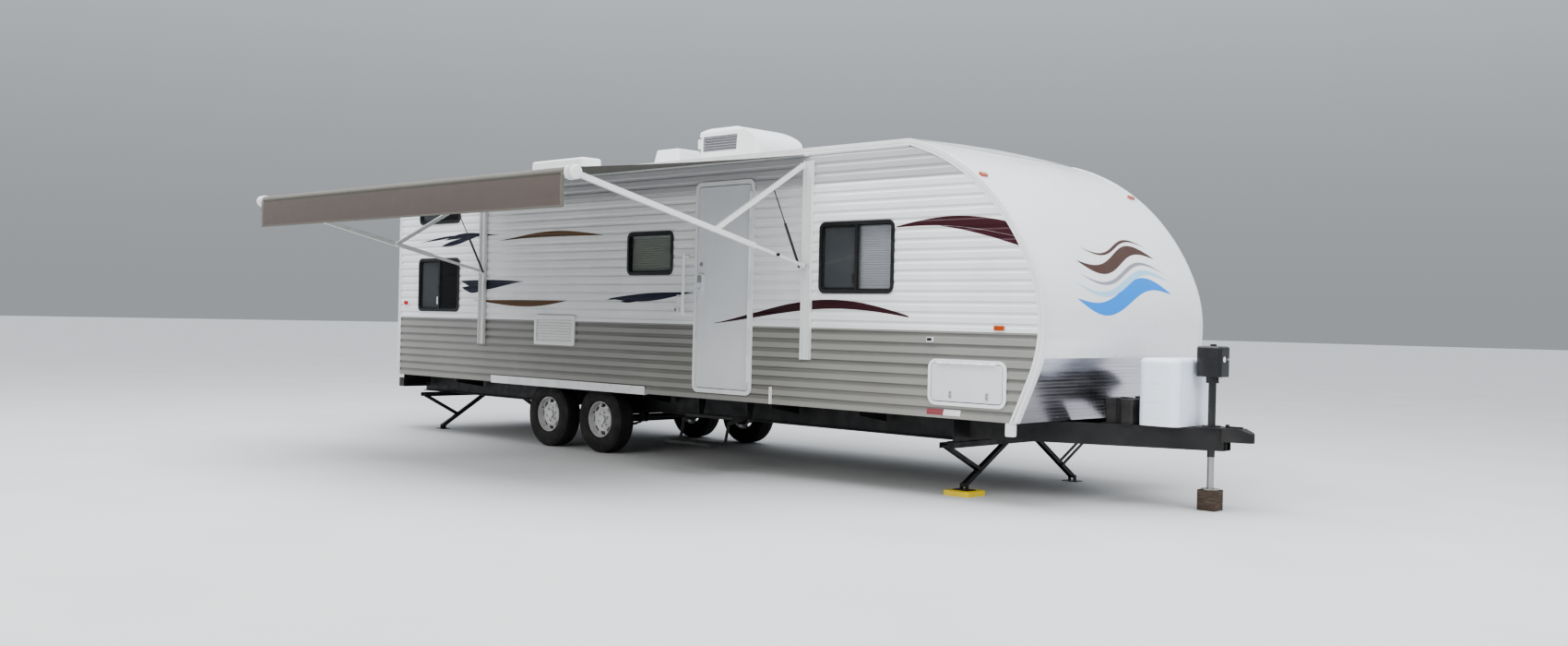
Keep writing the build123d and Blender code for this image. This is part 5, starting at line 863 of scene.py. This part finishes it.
def window_parts(tag, side, x0, x1, z0, z1):
    """What fits into one window's frame, which takes the outer edge of its opening."""
    x0, x1, z0, z1 = x0 + FRAME_W, x1 - FRAME_W, z0 + FRAME_W, z1 - FRAME_W
    middle = (x0 + x1) / 2
    slides = tag != FIXED
    panes = ((x0, middle - DIVIDER_HALF), (middle + DIVIDER_HALF, x1)) if slides else ((x0, x1),)
    for number, (a, b) in enumerate(panes):
        ring = loop_xz(a + 0.004, b - 0.004, z0 + 0.004, z1 - 0.004, 0.026, side * (HALF_W - 0.0105))
        tube(f"seal_{tag}_{number}", ring, 0.0042, "seal_rubber", closed=True, steps=8)
    if slides:
        a, b = panes[0]
        ring = loop_xz(a - 0.006, b + 0.012, z0 + 0.010, z1 - 0.010, 0.024, side * (HALF_W - 0.0225))
        tube(f"slider_{tag}", ring, 0.0075, "frame_black", closed=True, steps=8, flat=0.45)
        wall_slab(f"screen_{tag}", side, (a + 0.002, b - 0.002), SCREEN_OUTS[side], (z0 + 0.012, z1 - 0.012),
                  "screen_grey", 0.0004)
        wall_slab(f"window_latch_{tag}", side, (b - 0.028, b - 0.004), (-0.0190, -0.0020), (z0 + 0.05, z0 + 0.135),
                  "cast_white" if tag.endswith("0") else "frame_black", 0.004)
    if tag in SHADED:
        pleated(f"shade_{tag}", x0 + 0.003, x1 - 0.003, z0 + 0.003, z1 - 0.003, side, SHADED[tag])


for side, side_name in SIDES:
    for index, box in enumerate(WINDOWS[side_name]):
        window_parts(f"{side_name}_{index}", side, *box)

# Doors: seal, lock, latches and thumb catches
DOOR_OPENING, DOOR_CORNER, DOOR_SEAL_IN = (5.127, 5.783, 0.740, 2.536), 0.020, 0.037
tube("door_seal", loop_xz(*DOOR_OPENING, DOOR_CORNER, DOOR_SEAL_IN - HALF_W), 0.0026, "seal_rubber",
     closed=True, steps=8)
LOCK_X = 5.169
wall_knobs("door_lock", ((19, 0), (19, 4), (16, 8), (12.5, 9), (11.5, 12), (4, 12.5)), -1,
           [(LOCK_X, 0.006, 1.845)], "latch_grey", "entry_door", 24)
wall_slab("door_lock_slot", -1, (LOCK_X - 0.0015, LOCK_X + 0.0015), (0.0180, 0.0192), (1.838, 1.852), "seal_rubber",
          0.0004, "entry_door")
wall_slab("door_latch_paddle", -1, (LOCK_X - 0.033, LOCK_X + 0.033), (0.0165, 0.0285), (1.690, 1.742), "latch_grey",
          0.004, "entry_door")
wall_knobs("door_latch_key", ((9, 0), (9, 3), (6, 5), (2, 5.5)), -1,
           [(LOCK_X, 0.0300, 1.625)], "screw_steel", "entry_door", 16)
HATCH_XS = (7.990, 8.330)
for side, tag in SIDES:
    body = f"storage_door_{tag}"
    wall_knobs(f"hatch_thumbs_{tag}", ((12.5, 0), (12.5, 4), (10, 8), (3, 9)), side,
               [(x, 0.013, 0.832) for x in HATCH_XS], "latch_grey", body, 20)
    for x in HATCH_XS:
        wall_slab(f"hatch_latch_{tag}_{round(x * 1000)}", side, (x - 0.0125, x + 0.0125), (0.0135, 0.0180),
                  (0.794, 0.817), "latch_grey", 0.003, body)

# Awning cloth, from the rail on the wall to the roller
ROLLER_Y, ROLLER_Z, ROLLER_R = -3.700, 2.375, 0.0403
RAIL_Y, RAIL_Z = -1.2413, 2.752
CLOTH_X0, CLOTH_X1 = 1.770, 6.430
CLOTH_T = 0.0016
CLOTH_COLUMNS = 72
HEM_W = 0.040
CANOPY_DEPTH, CANOPY_SAG, VALANCE_DROP = 2.55, 0.014, 0.248
RIPPLE, RIPPLE_TURNS, RIPPLE_SKEW = 0.0022, 9.0, 3.0
# Slots of the awning's cloth: plain top, darker copy as painted shade, and hems whose cloth is also a painted highlight
# over the roller
TOP_LOOK, SHADE_LOOK, HEM_AND_HIGHLIGHT_LOOK = 0, 1, 2


def cloth_sheet(name, rows, under, hem_and_highlight_rows):
    """A thin closed sheet of rows of (y, z) points, with hems at its sides and the lighter cloth along its last rows: a
    real hem at the valance's foot, a painted highlight where the canopy wraps over the top of the roller.

    under is 1 for the canopy, which has a ripple and the darker cloth below as painted shade, and 0 for the valance,
    whose first row under the roller takes that cloth as a painted shadow line.
    """
    wide = CLOTH_COLUMNS
    spread = CLOTH_X1 - CLOTH_X0 - 2 * HEM_W
    columns = [CLOTH_X0, *[CLOTH_X0 + HEM_W + spread * j / (wide - 2) for j in range(wide - 1)], CLOTH_X1]
    count = len(rows)
    normals = []
    for i in range(count):
        run = (Vector(rows[min(i + 1, count - 1)]) - Vector(rows[max(i - 1, 0)])).normalized()
        normals.append(Vector((run.y, -run.x)))
    points = []
    for away in (CLOTH_T / 2, -CLOTH_T / 2):
        for i, row in enumerate(rows):
            share = i / (count - 1)
            for x in columns:
                ripple = RIPPLE * sin(pi * share) * sin(x * RIPPLE_TURNS + share * RIPPLE_SKEW) * under
                off = Vector(row) + normals[i] * (away + ripple)
                points.append(at(x, off.x, off.y))
    stride = wide + 1
    last = count * stride
    faces, looks = [], []
    for layer in (0, 1):
        sheet = quads(count, stride, layer * last, ring=False)
        faces += sheet if layer else [face[::-1] for face in sheet]
        for i in range(count - 1):
            # Painted shade: the canopy's underside and the valance's first row under the roller take the darker cloth
            plain = SHADE_LOOK if (under and layer) or (not under and i == 0) else TOP_LOOK
            # Painted highlight: the canopy's last rows, over the top of the roller, take the lighter cloth, which
            # elsewhere is a real hem
            hem_and_highlight_row = i >= count - hem_and_highlight_rows
            looks += [HEM_AND_HIGHLIGHT_LOOK if hem_and_highlight_row or j in (0, wide - 1) else plain for j in range(wide)]
    rim = [*range(stride), *range(2 * stride - 1, last, stride), *range(last - 2, last - stride - 1, -1),
           *range(last - 2 * stride, 0, -stride)]
    faces += [(a, b, b + last, a + last) for a, b in zip(rim, rim[1:] + rim[:1])]
    looks += [HEM_AND_HIGHLIGHT_LOOK] * len(rim)
    made = piece(name, points, faces, "awning_cloth", smooth=True)
    made.data.materials.append(MATERIALS["awning_cloth_shaded"])
    made.data.materials.append(MATERIALS["awning_hem_and_highlight"])
    made.data.polygons.foreach_set("material_index", looks)
    tidy(made)
    return made


def canopy_rows():
    """The canopy from the rail to the roller's top and round to its front."""
    run = Vector((ROLLER_Y - RAIL_Y, ROLLER_Z + ROLLER_R - RAIL_Z))
    rows = []
    for share in [i / 28 for i in range(28)]:
        rows.append((RAIL_Y + run.x * share, RAIL_Z + run.y * share - CANOPY_SAG * sin(pi * share)))
    wrap = ROLLER_R + 0.001
    for angle in [pi / 2 + pi / 2 * k / 6 for k in range(7)]:
        rows.append((ROLLER_Y + wrap * cos(angle), ROLLER_Z + wrap * sin(angle)))
    return rows


# The canopy's last six rows, over the roller, carry the painted highlight
canopy = cloth_sheet("awning_canopy", canopy_rows(),
                     1, 6)
drop = [(ROLLER_Y - ROLLER_R - 0.0015 - 0.004 * sin(pi * i / 16), ROLLER_Z - VALANCE_DROP * i / 16) for i in range(17)]
cloth_sheet("awning_valance", drop, 0, 2)
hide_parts("awning_fabric")

# Awning castings and bolts, at the arms
HEAD = ((30, -4), (47, 0), (52, 6), (52, 20), (44, 28), (20, 32))
BOLT = ((11, 0), (11, 4), (8, 7), (2, 8))
for x, inward, tag in ((1.720, 1, "rear"), (6.480, -1, "front")):
    outer, inner = x - inward * 0.015, x + inward * 0.045
    turned(f"awning_head_{tag}", HEAD, [((outer, ROLLER_Y, ROLLER_Z), (-inward, 0, 0))], "cast_white",
           steps=40)
    pins = [((outer, -1.2720, 1.815), (-inward, 0, 0)), ((inner, -1.2750, 2.660), (inward, 0, 0))]
    turned(f"awning_bolts_{tag}", BOLT, pins, "screw_steel", steps=16)

# Running gear: nuts, valve stems and tyres with tread
WHEELS = {"front": 3.580, "rear": 2.735}
TRACK_Y = 1.000
TYRE_R = 0.332
NUT_CIRCLE, NUT_Y, NUT_TURN = 0.0698, 0.0335, 0.3
NUT = ((10.5, 0), (10.5, 13), (9, 17), (4, 19))
VALVE_R, VALVE_Y, VALVE_ANGLE = 0.160, 0.020, 2.75
VALVE = ((5, 0), (5, 10), (4.2, 12), (4.2, 30), (2, 32))
# Half of the tread as (distance from the middle, depth) and a sidewall as (radius, distance from the middle), in mm
TREAD_ROWS = ((-79.2, 5.2), (-72, 3), (-56, 2), (-55.5, 8.5), (-47.5, 8.5),
              (-47, 1.2), (-18, 0.3), (-17.5, 8), (-9.5, 8), (-9, 0.1), (0, 0))
SIDE_ROWS = ((178, 70), (181, 76.5), (186, 80), (190, 86.5), (196, 90), (200, 94.5),
             (203, 94.8), (206, 96.5), (215, 98.5), (235, 100.8), (255, 101.2), (275, 100),
             (292, 96.5), (296, 96.8), (299, 94), (312, 88.5), (321, 84))
PITCHES, PER_PITCH = 58, 4
GROOVE_FROM, SLOT_DEPTH = 6, 0.0035
WALL, RIB, GROOVE = 0, 1, 2


def slot_depth(kind, y, i):
    """Depth of the slots across the outer ribs and, between them, across the middle ones."""
    outer = i % PER_PITCH == 0 and abs(y) > 0.012
    middle = i % PER_PITCH == 2 and abs(y) <= 0.018
    return SLOT_DEPTH if kind == RIB and (outer or middle) else 0.0


def tyre(where, side_name, side):
    """A trailer tyre: ribbed sidewalls, four grooves and slots across the ribs."""
    tread = [*TREAD_ROWS, *[(-y, d) for y, d in reversed(TREAD_ROWS[:-1])]]
    profile = [(-y * MM, r * MM, WALL) for r, y in SIDE_ROWS]
    profile += [(y * MM, TYRE_R - d * MM, RIB if d < GROOVE_FROM else GROOVE) for y, d in tread]
    profile += [(y * MM, r * MM, WALL) for r, y in reversed(SIDE_ROWS)]
    steps = PITCHES * PER_PITCH
    points = []
    for y, r, kind in profile:
        for i in range(steps):
            angle = 2 * pi * (i + (0.5 if kind and y > 0 else 0.0)) / steps
            rr = r - slot_depth(kind, y, i)
            points.append(at(WHEELS[where] + rr * cos(angle), side * TRACK_Y + y, TYRE_R + rr * sin(angle)))
    name = f"{where}_{side_name}_tyre"
    faces = quads(len(profile), steps, closed=True)
    made = tidy(piece(f"{name}_tread", points, faces, "tyre_rubber", f"{where}_{side_name}_wheel"))
    soften(made, 28)
    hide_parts(name)
    return made


def wheel_spot(where, side, radius, angle, out):
    """A place on a wheel's outer face, with its axis."""
    x, z = WHEELS[where] + radius * cos(angle), TYRE_R + radius * sin(angle)
    return (x, side * (TRACK_Y + out), z), (0, side, 0)


for where in WHEELS:
    for side, side_name in SIDES:
        tyre(where, side_name, side)
        corner = f"{where}_{side_name}"
        nuts = [wheel_spot(where, side, NUT_CIRCLE, 2 * pi * k / 6 + NUT_TURN, NUT_Y) for k in range(6)]
        turned(f"{corner}_nuts", NUT, nuts, "screw_steel", f"{corner}_wheel", 6, False)
        turned(f"{corner}_valve", VALVE, [wheel_spot(where, side, VALVE_R, VALVE_ANGLE, VALVE_Y)], "seal_rubber",
               f"{corner}_wheel", 12)

# Lamp and switch on the jack's head, and a plain white plug on its tube
JACK_X, JACK_Z = 9.6145, 1.135
turned("jack_lamp", ((21, 0), (21, 3), (17, 5), (6, 5.5)),
       [((JACK_X, -0.02, JACK_Z), (1, 0, 0))], "clear_lens", steps=28)
turned("jack_switch", ((9, 0), (9, 4), (5, 10), (2, 10.5)),
       [((JACK_X, 0.035, JACK_Z), (1, 0, 0))], "latch_grey", steps=16)
slab("jack_plug", (9.568, -0.016, 0.972), (9.575, 0.016, 1.004), "white_plastic", 0.003)

# Flap of the side port, outlet lid and button by the door, round covers on the left
BOX_OUT = 0.0175
for name, xs, outs, zs, look, bevel in (
        ("port_flap", (7.763, 7.807), (BOX_OUT, 0.0225), (1.222, 1.246), "black_plastic", 0.002),
        ("outlet_lid", (4.868, 4.912), (BOX_OUT, 0.0235), (1.475, 1.555), "white_plastic", 0.004),
        ("outlet_hinge", (4.872, 4.908), (0.0190, 0.0265), (1.553, 1.561), "latch_grey", 0.003)):
    wall_slab(name, -1, xs, outs, zs, look, bevel)
wall_knobs("button", ((17, 0), (17, 3), (12, 4), (11, 7), (3, 8)), -1,
           [(4.840, BOX_OUT, 1.430)], "latch_grey", ROOT, 28)
wall_knobs("inlet_covers", ((46, 0), (46, 5), (43, 9), (30, 9.5), (28, 13), (6, 14)), 1,
           [(2.450, BOX_OUT, 1.150), (1.500, BOX_OUT, 0.900)], "white_plastic", ROOT, 40)

# Straps over the batteries, between two distances from the boxes, with their buckles
STRAP_X, STRAP_IN, STRAP_OUT = (8.891, 8.929), 0.0008, 0.003
BOX_LOW, BOX_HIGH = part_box("battery_boxes")


def strap_line(y0, y1, out):
    """The line (y, z) of a strap up one side of a battery box, over it and down the other."""
    foot, top = BOX_LOW.z + 0.004, BOX_HIGH.z + out
    return [(y0 - out, foot), (y0 - out, top), (y1 + out, top), (y1 + out, foot)]


for tag, y0, y1 in (("right", -0.320, -0.130), ("left", 0.130, 0.320)):
    ring = strap_line(y0, y1, STRAP_OUT) + strap_line(y0, y1, STRAP_IN)[::-1]
    prism(f"battery_strap_{tag}", lambda x: [(x, y, z) for y, z in ring], STRAP_X, "strap_webbing",
          bevel=0.0006, steps=1)
    middle = (y0 + y1) / 2
    slab(f"battery_buckle_{tag}", (8.886, middle - 0.022, BOX_HIGH.z + 0.0025),
         (8.934, middle + 0.022, BOX_HIGH.z + 0.0085), "black_plastic", 0.002)

# Sealant round the roof fittings and along the roof's front edge
CROWN_Z, CROWN_RISE, SHOULDER_Y = 2.837, 0.030, 1.159
CROWN_R = (SHOULDER_Y ** 2 + CROWN_RISE ** 2) / (2 * CROWN_RISE)
BEAD_STEP = 0.03
FRONT_HALF, FRONT_STEPS = 1.14, 76


def crown(y):
    """Height of the roof at a distance from its middle."""
    return CROWN_Z - CROWN_R + sqrt(CROWN_R ** 2 - y ** 2)


def roof_bead(name, x0, x1, y0, y1, corner):
    """Sealant round a fitting, a little wavy, laid on the crowned roof."""
    ring = [Vector((x, y, crown(y))) for x, _, y in loop_xz(x0, x1, y0, y1, corner, 0, 5)]
    fine = []
    for spot, ahead in zip(ring, ring[1:] + ring[:1]):
        cuts = max(1, ceil((ahead - spot).length / BEAD_STEP))
        for p in [spot.lerp(ahead, i / cuts) for i in range(cuts)]:
            wave = 0.0012 * sin(37 * p.x + 51 * p.y)
            fine.append((p.x + wave, p.y + wave, crown(p.y) + 0.001))
    tube(name, fine, 0.0075, "roof_sealant", closed=True, steps=8, flat=0.5, across=(0, 0, 1))


for tag, *sizes in (("hood", 3.216, 3.704, -0.239, 0.239, 0.104), ("vent", 2.431, 3.249, -1.099, -0.901, 0.019),
                    ("air", 4.137, 4.965, -0.355, 0.355, 0.083)):
    roof_bead(f"roof_bead_{tag}", *sizes)
edge_x = (roof_high - DATUM).x - 0.012
edge_ys = [FRONT_HALF * (2 * i / FRONT_STEPS - 1) for i in range(FRONT_STEPS + 1)]
tube("roof_bead_front", [(edge_x, y, crown(y) + 0.0005) for y in edge_ys], 0.009, "roof_sealant",
     steps=8, flat=0.45, across=(0, 0, 1))

# Rims round the side lamps: number of the right one, then x0, x1, z0, z1 of the lamp
for first, x0, x1, z0, z1 in ((0, 0.135, 0.205, 1.443, 1.483), (4, 8.381, 8.471, 1.315, 1.351)):
    for number, (side, _) in enumerate(SIDES, first):
        ring = loop_xz(x0 - 0.001, x1 + 0.001, z0 - 0.001, z1 + 0.001, 0.009, side * (HALF_W + 0.0022))
        tube(f"lamp_rim_{number}", ring, 0.0032, "white_plastic", closed=True, steps=8)

# Caps in the ends of the bumper, and a clear reversing lens in each tail lamp
low, high = (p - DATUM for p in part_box("rear_bumper"))
for side, tag in SIDES:
    ys = sorted((low.y if side < 0 else high.y) + side * out for out in (-0.001, 0.007))
    slab(f"bumper_cap_{tag}", (low.x + 0.001, ys[0], low.z + 0.001), (high.x - 0.001, ys[1], high.z - 0.001),
         "black_plastic", 0.004)
for side, tag in SIDES:
    y = side * 1.040
    slab(f"tail_clear_{tag}", (-0.0295, y - 0.045, 0.925), (-0.0265, y + 0.045, 0.965), "clear_lens", 0.0015)

# Stage
FLOOR_SIZE = 300
SKY_TOP = 0.75
SKY_STRENGTH = 0.85
bpy.ops.mesh.primitive_plane_add(size=FLOOR_SIZE, location=(0, 0, 0))
ground = bpy.context.object
ground.name = "stage_floor"
floor_look = Look("stage_floor", roughness=0.8)
floor_look.colour(floor_look.mix(floor_look.cloud(0.8, 0.3, 0.7), (0.62, 0.62, 0.61), (0.66, 0.66, 0.65)))
ground.data.materials.append(floor_look.material)
ground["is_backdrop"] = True

world = bpy.data.worlds.new("studio")
bpy.context.scene.world = world
world.use_nodes = True
sky = Nodes(world.node_tree, "Generated")
rise = sky.ramp(sky.axis("Z"), 0.0, SKY_TOP, interpolation_type="SMOOTHSTEP")
background = sky.tree.nodes["Background"]
sky.put(background.inputs["Color"], sky.mix(rise, SKY_LOW, SKY_HIGH))
sky.put(background.inputs["Strength"], SKY_STRENGTH)
bpy.context.scene.view_settings.look = "AgX - Medium High Contrast"


def lamp(name, spot, aim, size, power, colour=(1, 1, 1)):
    """A soft rectangular light."""
    data = bpy.data.lights.new(name, "AREA")
    data.shape = "RECTANGLE"
    data.size, data.size_y = size
    data.energy = power
    data.color = colour
    made = added(name, data)
    made.location = spot
    made.rotation_euler = (Vector(aim) - Vector(spot)).to_track_quat("-Z", "Y").to_euler()


lamp("sky_panel", at(4.5, -2.5, 11), at(4.5, -0.5, 1), (14, 9), 1500, (0.95, 0.97, 1))
lamp("side_panel", at(8, -14, 7), at(4.5, 0, 1.2), (10, 5), 560, (1, 0.98, 0.95))
lamp("front_panel", at(17, -2, 6), at(8, 0, 1.5), (6, 5), 350)

# Camera
camera_data = bpy.data.cameras.new("camera")
camera_data.lens = CAMERA_LENS
camera_data.sensor_width = SENSOR
camera_data.clip_end = 500
camera = added("camera", camera_data)
bpy.context.scene.camera = camera
turn = (Matrix.Rotation(CAMERA_YAW - pi / 2, 4, "Z") @ Matrix.Rotation(CAMERA_PITCH + pi / 2, 4, "X")
        @ Matrix.Rotation(CAMERA_ROLL, 4, "Z"))
camera.matrix_world = Matrix.Translation(at(*CAMERA_SPOT)) @ turn

low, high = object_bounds()
